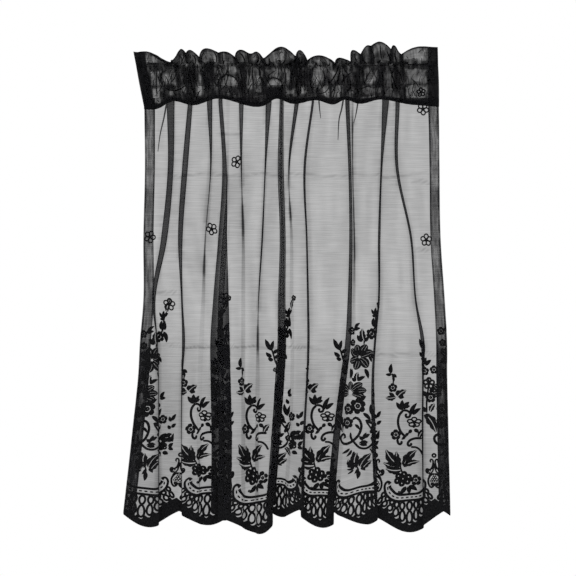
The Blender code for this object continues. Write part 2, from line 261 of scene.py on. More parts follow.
# %% Even out the pressed folds
# Pressed folds of net stop about as much light whether three or five layers lie there
PRESSED = 3.9
CROWDED = 2.2
LEAST_SHARE, MOST_SHARE = 0.4, 1.3
BIN_EDGES = np.arange(-212.0, 213.0, 1.0)
SMOOTHING = np.full(5, 0.2)
for row, across in enumerate(HUNG_X):
    crossed, _ = np.histogram(across, BIN_EDGES, weights=NET_AND_PAINTED_SHADE[row] * np.abs(np.gradient(across)))
    crossed = np.convolve(crossed, SMOOTHING, mode="same")
    share = np.clip(PRESSED / np.maximum(crossed, 1), LEAST_SHARE, MOST_SHARE)
    evened = np.where(crossed > CROWDED, share, 1.0)
    NET_AND_PAINTED_SHADE[row] *= np.interp(across, BIN_EDGES[:-1] + 0.5, evened)
print("net met by the eye:", round(float(NET_AND_PAINTED_SHADE.min()), 2), "to", round(float(NET_AND_PAINTED_SHADE.max()), 2))


# %% Look up a place on the hanging cloth
def table_weights(flat, height):
    """Rows and columns around each place, and its shares of the way between them."""
    row = np.clip((height - HEIGHTS[0]) / (HEIGHTS[1] - HEIGHTS[0]), 0, len(HEIGHTS) - 1.001)
    column = np.clip(flat / FLAT_STEP, 0, len(FLAT_GRID) - 1.001)
    r = row.astype(int)
    c = column.astype(int)
    return r, c, row - r, column - c


def between_four(table, r, c, up, along):
    """Mean of four neighbours in a table, each weighted by nearness."""
    low = table[r, c] * (1 - along) + table[r, c + 1] * along
    high = table[r + 1, c] * (1 - along) + table[r + 1, c + 1] * along
    return low * (1 - up) + high * up


def read_table(table, flat, height):
    """Value of a drape table at a flat place and a height."""
    return between_four(table, *table_weights(flat, height))


def scallop_place(flat):
    """Which scallop each flat place is in, and the share of the way across it."""
    index = np.clip(np.searchsorted(STARTS, flat, side="right") - 1, 0, len(SCALLOPS) - 2)
    before = (flat - STARTS[index]) / (CENTRES[index] - STARTS[index])
    after = (flat - CENTRES[index]) / (STARTS[index + 1] - CENTRES[index])
    return index, np.where(flat < CENTRES[index], 0.5 * before, 0.5 + 0.5 * after)


def soft_step(t):
    """From nought to one, level at both ends: t squared times three less two t."""
    return t * t * (3 - 2 * t)


def scallop_drop(share):
    """Depth of a scallop as a share of its lowest point: half parabola, half cosine."""
    return 2 * share * (1 - share) + (1 - np.cos(2 * np.pi * share)) / 4


SHIFT_TOP = 80.0
SHIFT_SPAN = 65.0


def hung_height(flat, v):
    """Height of a flat place when hung.

    v counts up from the valley line. Each scallop hangs a little higher or lower than the next,
    so the whole border is shifted with its hem, and the shift fades out 80 mm up.
    """
    index, share = scallop_place(flat)
    valley = VALLEYS[index] + (VALLEYS[index + 1] - VALLEYS[index]) * share
    depth = (VALLEYS[index] + VALLEYS[index + 1]) / 2 - LOWEST[index]
    shift = valley - VALLEY_LINE + (SCALLOP_DEPTH - depth) * scallop_drop(share)
    return VALLEY_LINE + v + shift * soft_step(np.clip((SHIFT_TOP - v) / SHIFT_SPAN, 0, 1))


PRESS_START = -82.0
PRESS_SPAN = 32.0
PRESSED_AWAY = 0.72
EDGE_MARGIN = 0.3


def press_at_top(y, height):
    """The folds are sewn flat at the pocket, so their depth shrinks over the last 32 mm to it."""
    return y * (1 - PRESSED_AWAY * soft_step(np.clip((height - PRESS_START) / PRESS_SPAN, 0, 1)))


def drape(flat, v, lift=0.0):
    """Hung place of flat points, in mm. lift moves them off the cloth, towards its face."""
    flat = np.clip(flat, EDGE_MARGIN, FLAT_WIDTH - EDGE_MARGIN)
    height = hung_height(flat, v)
    x = read_table(HUNG_X, flat, height) + lift * read_table(FACE_X, flat, height)
    y = press_at_top(read_table(HUNG_Y, flat, height), height)
    y = y + lift * read_table(FACE_Y, flat, height)
    y = y + ripple(flat, height)
    return np.stack((x, y, height), axis=-1)


# %% [markdown]
# Creases
#
# Folded in its packet, the cloth has kept a few soft creases that run across it. Each is a low
# ridge a millimetre or so wide, and net on a ridge is crossed at a slant, so it is a shade
# darker. They are listed by their height and by where they start and end.

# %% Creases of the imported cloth
Crease = namedtuple("Crease", "v start end tilt strength")
CREASES = (
    Crease(469, 150, 215, 1.5, 0.45),
    Crease(419, 20, 590, -2, 0.4),
    Crease(205, 30, 400, -3, 0.7),
    Crease(200, 400, 592, -7, 0.4),
    Crease(270, 30, 60, 1, 0.5),
    Crease(322, 556, 578, 2, 0.6),
    Crease(408, 555, 580, -1, 0.35),
    Crease(186, 285, 330, 2, 0.3),
)
CREASE_WIDTH = 1.3
CREASE_DEPTH = 0.8
print(len(CREASES), "creases")


def crease_share(flat, height):
    """How far each place is up a crease: a bell curve across it, faded at its two ends."""
    total = np.zeros(np.broadcast(flat, height).shape)
    for crease in CREASES:
        along = (flat - crease.start) / (crease.end - crease.start)
        line = crease.v + VALLEY_LINE + crease.tilt * along
        line = line + 1.6 * np.sin(flat / 17.0) + 0.9 * np.sin(flat / 6.3)
        ends = np.clip(np.minimum(along, 1 - along) * 12, 0, 1)
        total = total + crease.strength * ends * np.exp(-((height - line) / CREASE_WIDTH)**2)
    return total


def ripple(flat, height):
    """Depth of the creases, and a slow waver of the hanging cloth, both under a millimetre."""
    waver = 0.25 * np.sin(height / 31.0 + flat / 40.0) * np.sin(flat / 23.0)
    return waver - CREASE_DEPTH * crease_share(flat, height)


# %% Blotches
BLOTCH_CELLS = 400
BLOTCH_LEFT = -250
BLOTCH_LOW = -620


def blotches(across, up, wide, high, seed):
    """Smooth random values from minus one to one, one for each cell of the given size."""
    grid = np.random.default_rng(seed).uniform(-1, 1, (BLOTCH_CELLS, BLOTCH_CELLS))
    column = (across - BLOTCH_LEFT) / wide
    row = (up - BLOTCH_LOW) / high
    c = column.astype(int)
    r = row.astype(int)
    return between_four(grid, r, c, soft_step(row - r), soft_step(column - c))


# %% [markdown]
# Mesh helpers
#
# Two shapes make the whole object. A sheet is a grid of points, and lace is made of ribbons,
# each a slim pillow carried along a path. Both are worked out as whole arrays. Each mesh keeps
# its flat place in metres as its UV map, so the knit in the material follows the cloth, and how
# much net the eye meets as a value at each point. On the hanging panel that value also holds
# painted shade beside the folds.

# %% Make a mesh object
def make_object(name, points, faces, uv, layers_and_shade, material):
    """Object at the origin from points in mm, with its flat places and its net layers with any
    painted shade.
    """
    mesh = bpy.data.meshes.new(name)
    mesh.from_pydata((points * MM).tolist(), [], faces)
    layer = mesh.uv_layers.new(name="flat_place")
    corner = np.empty(len(mesh.loops), dtype=np.int32)
    mesh.loops.foreach_get("vertex_index", corner)
    layer.data.foreach_set("uv", (uv[corner] * MM).astype(np.float32).ravel())
    # The layers of net, and on the hanging panel also painted shade beside its folds.
    value = mesh.attributes.new("net_layers_and_painted_shade", "FLOAT", "POINT")
    value.data.foreach_set("value", np.asarray(layers_and_shade, dtype=np.float32))
    mesh.polygons.foreach_set("use_smooth", np.ones(len(mesh.polygons), dtype=bool))
    mesh.materials.append(material)
    mesh.update()
    piece = bpy.data.objects.new(name, mesh)
    bpy.context.scene.collection.objects.link(piece)
    print(name, len(mesh.vertices), "points,", len(mesh.polygons), "faces")
    return piece


def flat_pairs(s, v):
    """List of flat places, one row for each point."""
    return np.stack((s, v), axis=-1).reshape(-1, 2)


def sheet_faces(rows, columns):
    """Four-sided faces of a grid, turned to face the room when columns run to the right."""
    row, column = np.mgrid[0:rows - 1, 0:columns - 1]
    first = (row * columns + column).ravel()
    return np.stack((first, first + 1, first + columns + 1, first + columns), axis=1)


# %% [markdown]
# How the net looks
#
# The real net is a fine knit of horizontal courses about 2.7 mm apart, with finer upright
# wales. It lets through a little under half the light, and each further layer halves it again.
# Modelling a quarter of a million holes would gain nothing at this size, so the material makes
# the net see-through, and its courses are bands that let through more or less. One node group
# holds the knit, and each material gives it its own strength.

# %% Node helper
def node(tree, kind, x, y, **values):
    """New node at a place in the tree, with its properties set."""
    item = tree.nodes.new(kind)
    item.location = (x, y)
    for key, value in values.items():
        setattr(item, key, value)
    return item


def combine(tree, operation, a, b, x, y):
    """Math node with two inputs, each a socket or a number."""
    item = node(tree, "ShaderNodeMath", x, y, operation=operation)
    for socket, given in zip(item.inputs, (a, b)):
        if isinstance(given, (int, float)):
            socket.default_value = given
        else:
            tree.links.new(given, socket)
    return item.outputs[0]


def noise(tree, vector, scale, detail, x, y):
    """Noise texture that is read at the given vector."""
    item = node(tree, "ShaderNodeTexNoise", x, y)
    item.inputs["Scale"].default_value = scale
    item.inputs["Detail"].default_value = detail
    tree.links.new(vector, item.inputs["Vector"])
    return item


def centred(tree, texture, strength, y):
    """Noise moved to lie round nought, times its strength."""
    away = combine(tree, "SUBTRACT", texture.outputs["Fac"], 0.5, -800, y)
    return combine(tree, "MULTIPLY", away, strength, -650, y)


def wave(tree, distance, pitch, strength, y):
    """Sine of a distance in metres, with its pitch in mm, times its strength."""
    turned = combine(tree, "MULTIPLY", distance, 2 * np.pi / (pitch * MM), -650, y)
    return combine(tree, "MULTIPLY", combine(tree, "SINE", turned, 0.0, -500, y), strength, -350, y)


def mapped(tree, place, scale, x, y):
    """The flat place, stretched by a scale in each direction."""
    item = node(tree, "ShaderNodeMapping", x, y)
    item.inputs["Scale"].default_value = (*scale, 1.0)
    tree.links.new(place.outputs["UV"], item.inputs["Vector"])
    return item.outputs["Vector"]


# %% Node group for knitted net
COURSE_PITCH = 2.7
WALE_PITCH = 1.1
COURSE_DRIFT = 0.006
STREAK_SCALE = (26.0, 560.0)
THROUGH_ONE_LAYER = 0.44


def knit_group():
    """Courses, wales and a slow mottle from the flat place, and the light that they stop."""
    group = bpy.data.node_groups.new("Knitted net", "ShaderNodeTree")
    for name, kind in (("Layers", "NodeSocketFloat"), ("Course strength", "NodeSocketFloat"),
                       ("Mottle", "NodeSocketFloat"), ("Thread", "NodeSocketColor"),
                       ("Bright thread", "NodeSocketColor")):
        group.interface.new_socket(name, in_out="INPUT", socket_type=kind)
    for name, kind in (("Color", "NodeSocketColor"), ("Alpha", "NodeSocketFloat"),
                       ("Height", "NodeSocketFloat")):
        group.interface.new_socket(name, in_out="OUTPUT", socket_type=kind)
    inside = node(group, "NodeGroupInput", -1400, 0)
    outside = node(group, "NodeGroupOutput", 900, 0)
    place = node(group, "ShaderNodeUVMap", -1400, 300, uv_map="flat_place")
    split = node(group, "ShaderNodeSeparateXYZ", -1200, 300)
    group.links.new(place.outputs["UV"], split.inputs[0])
    waver = noise(group, place.outputs["UV"], 28.0, 2.0, -1200, 600)
    drift = combine(group, "MULTIPLY", waver.outputs["Fac"], COURSE_DRIFT, -1000, 600)
    course = combine(group, "ADD", split.outputs["Y"], drift, -800, 500)
    course = wave(group, course, COURSE_PITCH, 0.4, 500)
    wale = wave(group, split.outputs["X"], WALE_PITCH, 0.3, 300)
    streak = noise(group, mapped(group, place, STREAK_SCALE, -1200, -300), 1.0, 3.0, -1000, -300)
    bands = combine(group, "ADD", course, wale, -200, 400)
    bands = combine(group, "ADD", bands, centred(group, streak, 7.0, -300), -50, 400)
    bands = combine(group, "MULTIPLY", bands, inside.outputs["Course strength"], 100, 400)
    cloud = noise(group, place.outputs["UV"], 60.0, 4.0, -1000, -600)
    mottle = centred(group, cloud, inside.outputs["Mottle"], -600)
    amount = combine(group, "ADD", bands, 1.0, 250, 300)
    amount = combine(group, "ADD", amount, mottle, 400, 300)
    # The layers input also carries the painted shade beside the panel's folds into the alpha.
    amount = combine(group, "MULTIPLY", amount, inside.outputs["Layers"], 550, 300)
    through = combine(group, "POWER", THROUGH_ONE_LAYER, amount, 650, 300)
    stopped = combine(group, "SUBTRACT", 1.0, through, 750, 300)
    group.links.new(stopped, outside.inputs["Alpha"])
    group.links.new(bands, outside.inputs["Height"])
    mix = node(group, "ShaderNodeMix", 500, -200, data_type="RGBA")
    group.links.new(cloud.outputs["Fac"], mix.inputs["Factor"])
    group.links.new(inside.outputs["Thread"], mix.inputs["A"])
    group.links.new(inside.outputs["Bright thread"], mix.inputs["B"])
    group.links.new(mix.outputs["Result"], outside.inputs["Color"])
    return group


KNIT = knit_group()
print("node group:", KNIT.name)


# %% The start and the end of each cloth material
def cloth_material(name, roughness):
    """Material with a dull cloth shader, which has a trace of sheen and no metal in it."""
    material = bpy.data.materials.new(name)
    material.use_nodes = True
    shader = material.node_tree.nodes["Principled BSDF"]
    for socket, value in (("Roughness", roughness), ("Metallic", 0.0),
                          ("Specular IOR Level", 0.03), ("Sheen Weight", 0.01)):
        shader.inputs[socket].default_value = value
    return material, material.node_tree, shader


def add_bump(tree, shader, height, strength, distance):
    """Bump of a height, with its distance in mm, on the shader's normal."""
    bump = node(tree, "ShaderNodeBump", -200, -100)
    bump.inputs["Strength"].default_value = strength
    bump.inputs["Distance"].default_value = distance * MM
    tree.links.new(height, bump.inputs["Height"])
    tree.links.new(bump.outputs["Normal"], shader.inputs["Normal"])


# %% A net material
def net_material(name, course_strength, mottle, thread, bright):
    """See-through knit: the group's colour, alpha and bump on a plain cloth shader."""
    material, tree, shader = cloth_material(name, 0.8)
    shader.inputs["Sheen Roughness"].default_value = 0.4
    knit = node(tree, "ShaderNodeGroup", -400, 200)
    knit.node_tree = KNIT
    # The attribute holds the layers of net, and on the hanging panel also painted shade beside its
    # folds.
    layers = node(tree, "ShaderNodeAttribute", -650, 300, attribute_name="net_layers_and_painted_shade")
    tree.links.new(layers.outputs["Fac"], knit.inputs["Layers"])
    knit.inputs["Course strength"].default_value = course_strength
    knit.inputs["Mottle"].default_value = mottle
    knit.inputs["Thread"].default_value = (*thread, 1.0)
    knit.inputs["Bright thread"].default_value = (*bright, 1.0)
    tree.links.new(knit.outputs["Color"], shader.inputs["Base Color"])
    tree.links.new(knit.outputs["Alpha"], shader.inputs["Alpha"])
    add_bump(tree, shader, knit.outputs["Height"], 0.3, 0.2)
    return material


NET = net_material("Sheer knitted net", 0.085, 0.22, (0.004, 0.004, 0.005), (0.013, 0.013, 0.015))
GATHERED = net_material("Gathered knitted net", 0.12, 0.6, (0.001, 0.001, 0.0015),
                        (0.008, 0.008, 0.009))
print("net materials:", NET.name, "and", GATHERED.name)


# %% Lace thread
def thread_material(name, dark, bright, scale):
    """Dense knitted thread: a fine uneven rib that changes its colour and its height."""
    material, tree, shader = cloth_material(name, 0.75)
    place = node(tree, "ShaderNodeUVMap", -1100, 0, uv_map="flat_place")
    rib = noise(tree, mapped(tree, place, (scale, 0.45 * scale), -900, 0), 1.0, 3.0, -700, 0)
    ramp = node(tree, "ShaderNodeValToRGB", -450, 150)
    for stop, position, colour in zip(ramp.color_ramp.elements, (0.35, 0.7), (dark, bright)):
        stop.position = position
        stop.color = (*colour, 1.0)
    tree.links.new(rib.outputs["Fac"], ramp.inputs["Fac"])
    tree.links.new(ramp.outputs["Color"], shader.inputs["Base Color"])
    add_bump(tree, shader, rib.outputs["Fac"], 0.5, 0.3)
    return material


LACE = thread_material("Dense lace thread", (0.0025, 0.0025, 0.003), (0.013, 0.013, 0.014), 900)
print("thread material:", LACE.name)

# %% [markdown]
# The hanging net
#
# This is the sheet itself, and the largest piece. Its columns follow the folds, with seven steps
# in each turn, so no fold looks cut off, and its rows follow the scallops at the bottom and run
# level higher up. It is a single surface, as thin as the real net looks.


# %% Column table of the net
def read_columns(table, height):
    """Each column's value at its own height, between the two nearest rows of the table."""
    row = np.clip((height - HEIGHTS[0]) / (HEIGHTS[1] - HEIGHTS[0]), 0, len(HEIGHTS) - 1.001)
    r = row.astype(int)
    column = np.broadcast_to(np.arange(table.shape[1]), height.shape)
    share = row - r
    return table[r, column] * (1 - share) + table[r + 1, column] * share


NET_ROWS = 190
HEM_TUCK = 1.2
CREASE_LAYERS = 0.9
MEAN_LAYERS, BLOTCH_LAYERS = 1.03, 0.13

# The ground of the net is closer below the sprays' tops, from this height above the valleys
GROUND_TOP, GROUND_SPAN, GROUND_LAYERS = 230.0, 110.0, 0.3

# One fold at the left opens out low down, where its net lies in fewer layers
OPENED_BELOW, OPENED_SPAN, OPENED_AT, OPENED_HALF, OPENED_AWAY = -390.0, 50.0, 77.0, 7.0, 0.2

shares = (np.arange(NET_ROWS) / (NET_ROWS - 1))[:, None]
flat = np.broadcast_to(FLATS[10], (NET_ROWS, FLATS.shape[1])).copy()
for _ in range(3):
    _, across = scallop_place(flat)
    bottom = HEM_TUCK - SCALLOP_DEPTH * scallop_drop(across)
    v = bottom + shares * (NET_TOP - bottom)
    height = hung_height(flat, v)
    flat = read_columns(FLATS, height)
net_x = read_columns(PLANS[:, :, 0], height)
net_y = press_at_top(read_columns(PLANS[:, :, 1], height), height) + ripple(flat, height)
net_points = np.stack((net_x, net_y, height), axis=-1).reshape(-1, 3)
# The panel's layers take the painted shade beside the folds from the table above.
panel_layers_and_shade = read_table(NET_AND_PAINTED_SHADE, flat, height) + CREASE_LAYERS * crease_share(flat, height)
panel_layers_and_shade *= MEAN_LAYERS + BLOTCH_LAYERS * blotches(flat, height, 8.0, 45.0, 3)
panel_layers_and_shade += GROUND_LAYERS * np.clip((GROUND_TOP - v) / GROUND_SPAN, 0, 1)
opened = np.exp(-((flat - OPENED_AT) / OPENED_HALF)**4)
opened *= np.clip((OPENED_BELOW - height) / OPENED_SPAN, 0, 1)
panel_layers_and_shade *= 1 - OPENED_AWAY * opened
net = make_object("net_panel", net_points, sheet_faces(*flat.shape).tolist(),
                  flat_pairs(flat, v), panel_layers_and_shade.ravel(), NET)
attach(net, "root")
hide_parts("panel")

# %% [markdown]
# The side hems
#
# Each side is turned in twice and stitched, so three layers lie there. The net panel is one of
# them. The other two are a strip folded round the edge, behind it. The strip's section is a
# hairpin: in along the back, round, and out again.

# %% Side hems
SIDE_HEM = 14.0
HEM_ROWS = 150
HEM_STEPS = 16
NEAR_LAYER, FAR_LAYER = -0.45, -1.15
PLAIN_HEM, RIM_LAYERS, LACE_HEM = 0.78, 1.3, 1.35
LACE_HEM_TOP, LACE_HEM_SPAN = 225.0, 60.0


def side_hem(name, edge, inward):
    """Two layers behind the panel's edge: flat places run in from the edge and back.

    They are darker at both rims, and in the lowest 225 mm, where the turned-in cloth is lace.
    """
    turn = np.linspace(0, np.pi, 7)
    inner = np.linspace(SIDE_HEM, 1.0, HEM_STEPS)
    depth = np.concatenate((inner, 1.0 - 0.6 * np.sin(turn[1:-1]), inner[::-1]))
    middle, half_gap = (NEAR_LAYER + FAR_LAYER) / 2, (NEAR_LAYER - FAR_LAYER) / 2
    lift = np.concatenate((np.full(HEM_STEPS, NEAR_LAYER), middle + half_gap * np.cos(turn[1:-1]),
                           np.full(HEM_STEPS, FAR_LAYER)))
    flat = edge + inward * np.broadcast_to(depth, (HEM_ROWS, len(depth)))
    _, across = scallop_place(flat)
    bottom = HEM_TUCK + 1 - SCALLOP_DEPTH * scallop_drop(across)
    v = bottom + (np.arange(HEM_ROWS) / (HEM_ROWS - 1))[:, None] * (NET_TOP - bottom)
    points = drape(flat, v, np.broadcast_to(lift, flat.shape))
    rims = np.exp(-((depth - 1) / 1.3)**2) + 0.9 * np.exp(-((depth - SIDE_HEM + 0.8) / 1.1)**2)
    worked = soft_step(np.clip((LACE_HEM_TOP - v) / LACE_HEM_SPAN, 0, 1))
    layers = PLAIN_HEM + RIM_LAYERS * rims + LACE_HEM * worked
    uneven = 0.4 * blotches(depth, v, 1.5, 9.0, 5) + 0.35 * blotches(depth, v, 4.5, 24.0, 6)
    layers = layers * (1 + uneven)
    hem = make_object(name, points.reshape(-1, 3), sheet_faces(*flat.shape).tolist(),
                      flat_pairs(flat, v), layers.ravel(), NET)
    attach(hem, "root")


side_hem("side_hem_left", 0.0, 1)
side_hem("side_hem_right", FLAT_WIDTH, -1)

# %% [markdown]
# The heading
#
# The top of the cloth goes over and down the back, and one seam draws it in. Above the seam the
# doubled edge stands up as a ruffle, and below it is the pocket for the rod. We carry the
# section of that loop along the seam. Broad lobes lean forwards and back by turns, and fine
# pleats run through all of it, deepest at the seam, where the thread pulls.

# %% Heading tables
Lobe = namedtuple("Lobe", "start dip peak skew power")
LOBES = (
    Lobe(-192.5, 16.8, 16.5, 0.87, 2), Lobe(-149, 3.7, 16.4, 2.4, 1),
    Lobe(-127.5, 14.9, 18.9, 0.76, 1.3), Lobe(-111, 10, 20.8, 0.62, 1),
    Lobe(-86.5, 15.6, 17.3, 1, 1), Lobe(-66.5, 10, 19.2, 0.61, 1),
    Lobe(-49, 14.9, 17.9, 1.36, 1.5), Lobe(-31.5, 8.7, 21.8, 1.2, 1.2), Lobe(9.5, 11.2, 19, 1, 0.7),
    Lobe(23, 5, 11.1, 0.9, 0.8), Lobe(58, 2.5, 10, 0.6, 0.8), Lobe(78, 3.7, 21.5, 0.37, 0.9),
    Lobe(90.5, 13.7, 23.7, 1.2, 1), Lobe(104, 23.7, 28.1, 0.95, 1), Lobe(129, 19.9, 23.9, 0.62, 2),
    Lobe(141.5, 13.7, 22.5, 0.75, 1.4), Lobe(187, 22.4, 22.4, 1, 1),
)
POCKET_HEM = (
    (-179, -55), (-165, -55), (-141, -45), (-118, -50), (-88, -42), (-28, -50), (-13, -42),
    (5, -48), (38, -44), (58, -49), (73, -43), (88, -48), (115, -43), (152, -49), (189, -52),
)
HEADING_LEFT = (-192.5, -178.5)
HEADING_RIGHT = (187.0, 188.5)
POCKET_DEPTH = 8.6
PLEAT_PITCH = 8.2

# One row for each point of the section: share of the ruffle (plus) or pocket (minus), distance
# from the middle plane, lean of the lobes, and depth of the pleats
Ring = namedtuple("Ring", "height offset lean pleat")
SECTION = (
    Ring(-0.90, 1.7, 0.6, 0.8), Ring(-1.0, 2.3, 1.0, 0.9), Ring(-0.94, 3.2, 1.2, 1.0),
    Ring(-0.82, 5.6, 1.6, 1.2), Ring(-0.5, POCKET_DEPTH, 2.0, 1.5), Ring(-0.18, 5.4, 2.2, 1.9),
    Ring(-0.04, 1.6, 2.8, 2.2), Ring(0.0, 1.1, 3.0, 2.2), Ring(0.1, 1.3, 3.3, 2.1),
    Ring(0.4, 1.6, 4.6, 1.5), Ring(0.75, 1.6, 6.6, 0.9), Ring(0.95, 1.0, 7.7, 0.6),
    Ring(1.0, 0.0, 8.0, 0.5), Ring(0.95, -1.0, 7.7, 0.6), Ring(0.75, -1.6, 6.6, 0.9),
    Ring(0.4, -1.6, 4.6, 1.5), Ring(0.1, -1.3, 3.3, 2.1), Ring(0.0, -1.1, 3.0, 2.2),
    Ring(-0.04, -1.6, 2.8, 2.2), Ring(-0.18, -5.4, 2.2, 1.9), Ring(-0.5, -POCKET_DEPTH, 2.0, 1.5),
    Ring(-0.82, -5.9, 1.6, 1.2), Ring(-0.94, -3.6, 1.2, 1.0), Ring(-1.0, -2.7, 1.0, 0.9),
    Ring(-0.9, -2.3, 0.8, 0.8),
)


# %% Shape of the heading
def ruffle_top(x):
    """Height and lean of the ruffle, and how far each place is from a dip.

    Over each lobe, the height is a sine raised to the lobe's power. The share of the way across
    is raised to its skew first, which moves the peak to one side. Lobes lean by turns.
    """
    starts, dips, peaks, skew, power = np.array(LOBES, float).T
    i = np.clip(np.searchsorted(starts, x, side="right") - 1, 0, len(LOBES) - 2)
    width = starts[i + 1] - starts[i]
    t = np.clip((x - starts[i]) / width, 0, 1)
    base = dips[i] + (dips[i + 1] - dips[i]) * t
    rise = peaks[i] - (dips[i] + dips[i + 1]) / 2
    top = base + rise * np.clip(np.sin(np.pi * t**skew[i]), 0, 1)**power[i]
    lean = np.sin(np.pi * t) * (1.0 - 2.0 * (i % 2)) * np.minimum(1, width / 26.0)
    return top, lean, np.minimum(t, 1 - t) * width


def side_lines(z):
    """Left and right side of the heading at a height: both lean evenly outwards to the top."""
    up = np.clip((z + 52) / 72, 0, 1.2)
    return [side[1] + (side[0] - side[1]) * up for side in (HEADING_LEFT, HEADING_RIGHT)]


def along_seam(along):
    """At a share of the way along: ruffle's top, lean, distance to a dip, pocket's hem, pleat."""
    seam = HEADING_LEFT[0] + along * (LOBES[-1].start - LOBES[0].start)
    hem = HEADING_LEFT[1] + along * (HEADING_RIGHT[1] - HEADING_LEFT[1])
    pocket = smooth_curve([p[0] for p in POCKET_HEM], [p[1] for p in POCKET_HEM], hem)
    phase = seam / PLEAT_PITCH + 0.45 * np.sin(seam / 19.0) + 0.3 * np.sin(seam / 7.3)
    pleat = np.sin(2 * np.pi * phase) * (0.75 + 0.35 * np.sin(seam / 11.0 + 1.0))
    return (*ruffle_top(seam), pocket, pleat)


HEADING_COLUMNS = 620
HEADING_RINGS = 150
TOP_RING, HEM_RING = 12, 23
section = np.array(SECTION)
fine = np.linspace(0, len(SECTION) - 1, 2401)
FINE_SHARE, FINE_OFFSET = [smooth_curve(np.arange(len(SECTION)), section[:, k], fine) for k in (0, 1)]
rise = np.diff(FINE_SHARE) * np.where(FINE_SHARE[1:] > 0, 18, 48)
around = np.r_[0, np.cumsum(np.hypot(rise, np.diff(FINE_OFFSET)))]
ring_at = np.interp(np.linspace(0, around[-1], HEADING_RINGS), around, fine)
share, offset, lean_by, pleat_by = [
    smooth_curve(np.arange(len(SECTION)), section[:, k], ring_at)[:, None] for k in range(4)]
along = np.linspace(0, 1, HEADING_COLUMNS)
top, lean, from_start, pocket, pleat = along_seam(along)
head_z = np.clip(share, 0, None) * top + np.clip(-share, 0, None) * pocket
left_x, right_x = side_lines(head_z)
head_x = left_x + along * (right_x - left_x)
pleats = pleat_by * pleat
head_y = offset + lean_by * lean + pleats
head_points = np.stack((head_x, head_y, head_z), axis=-1)


def front_wall(x, z, lift=0.0):
    """Place on the heading's front wall, found from where it is seen: the loop's rows from the
    top edge down to the hem are read backwards, from height to row."""
    left, right = side_lines(z)
    top, lean, _, pocket, pleat = along_seam(np.clip((x - left) / (right - left), 0, 1))
    down = np.clip(np.where(z > 0, -z / top, -z / np.abs(pocket)), -1, 1)
    front = (fine >= TOP_RING) & (fine <= HEM_RING)
    row = np.interp(down, -FINE_SHARE[front], fine[front])
    y = np.interp(row, ring_at, offset[:, 0]) + np.interp(row, ring_at, lean_by[:, 0]) * lean
    y = y + np.interp(row, ring_at, pleat_by[:, 0]) * pleat
    return np.stack(np.broadcast_arrays(x, y - lift, z), axis=-1)


# %% [markdown]
# Gathers of the heading
#
# Seen from the front the heading is far from even. Where the thread bunches it, the net is
# nearly black, and where it lies slack the light comes through in patches. The tables name those
# places in mm, with the layers of net in each of the two walls. Random streaks between them
# stand for the fine crumples.

# %% Tables of the gathers
Gather = namedtuple("Gather", "left right low high layers")
BUNCHED = (
    Gather(-126.5, -115, -49, -3.5, 3.2), Gather(-104.5, -92, -49, 2.5, 3.3),
    Gather(-61, -51, -49, 2.5, 3), Gather(-30.5, -26, -49, -1, 3.2),
    Gather(-26, -5, -46, -27.5, 3.8), Gather(-156, -140, -49, -26, 2.8),
    Gather(-140, -116.5, -26, -1, 2.7), Gather(2, 15.5, -41, 8.5, 3),
    Gather(17, 24.5, -26, 11, 2.9), Gather(25.5, 33, -46, -3.5, 2.6), Gather(83, 95, -49, 0, 3),
    Gather(114, 120, -44, 2.5, 3.2), Gather(131.5, 146.5, -46, 2.5, 3),
)
SLACK = (
    Gather(-171, -158.5, -26, -7.5, 1.4), Gather(-167.5, -158.5, -47, -28.5, 1.05),
    Gather(-154.5, -139, -25, -10, 1.45), Gather(-149, -141.5, -36, -30, 1.4),
    Gather(-134, -126.5, -35, -28.5, 1.4), Gather(-110, -106.5, -21, -8.5, 1.4),
    Gather(-112.5, -107.5, -40, -27, 1.3), Gather(-86.5, -75.5, -16, -5, 1.8),
    Gather(-73.5, -63, -12.5, 1, 1.4), Gather(-50, -31.5, -26, -3.5, 1.65),
    Gather(-50, -45, -32.5, -12.5, 1.25), Gather(-38.5, -33, -33.5, -6, 1.3),
    Gather(-28, -8, -15.5, -3.5, 1.7), Gather(-5, 2, -25, -3.5, 1.6),
    Gather(-2, 9.5, -37, -28, 1.6), Gather(15.5, 23, -35.5, -26, 1.3),
    Gather(31.5, 45.5, -23, -3.5, 1.45), Gather(44, 51.5, -40, -26, 1.3),
    Gather(55, 65.5, -39, -25, 1.4), Gather(51.5, 61.5, -21, -7.5, 1.4),
    Gather(66.5, 81.5, -13.5, -5, 1.65), Gather(96, 112.5, -21, -6, 1.65),
    Gather(98.5, 107, -23.5, -18, 1.2), Gather(93, 116.5, -35.5, -26, 1.55),
    Gather(93, 117, -41.5, -38.5, 1.5), Gather(121.5, 131.5, -40, -8.5, 1.9),
    Gather(146.5, 172.5, -22.5, -5, 1.35), Gather(146.5, 172.5, -41, -25.5, 1.3),
    Gather(-177.5, -163.5, 1, 13, 1.15), Gather(-135, -128, 1, 10, 1.3),
    Gather(-108.5, -104, 4.5, 15, 1.3), Gather(-99, -88, 5.5, 16, 1.4),
    Gather(-84.5, -76.5, 1, 12.5, 1.4), Gather(-49, -40, 4.5, 16, 1.35),
    Gather(-31.5, -24, 3, 10, 1.4), Gather(-22, -3, 5.5, 19.5, 1.4),
    Gather(34, 40, -2.5, 6, 1.3), Gather(104.5, 109.5, 11, 22.5, 1.4),
    Gather(112, 121.5, 16, 26, 1.4), Gather(144, 172.5, 4.5, 20, 1.15),
)
Arch = namedtuple("Arch", "x foot half_width height")
ARCHES = (Arch(-72.2, -27, 11.0, 13.5), Arch(-16.5, -27, 9.8, 9.8))


def soft_box(x, z, box, blur=1.3):
    """Share of a soft-edged box at each place: one inside, nothing outside."""
    across = np.clip(np.minimum(x - box.left, box.right - x) / blur + 0.5, 0, 1)
    over = np.clip(np.minimum(z - box.low, box.high - z) / blur + 0.5, 0, 1)
    return across * over


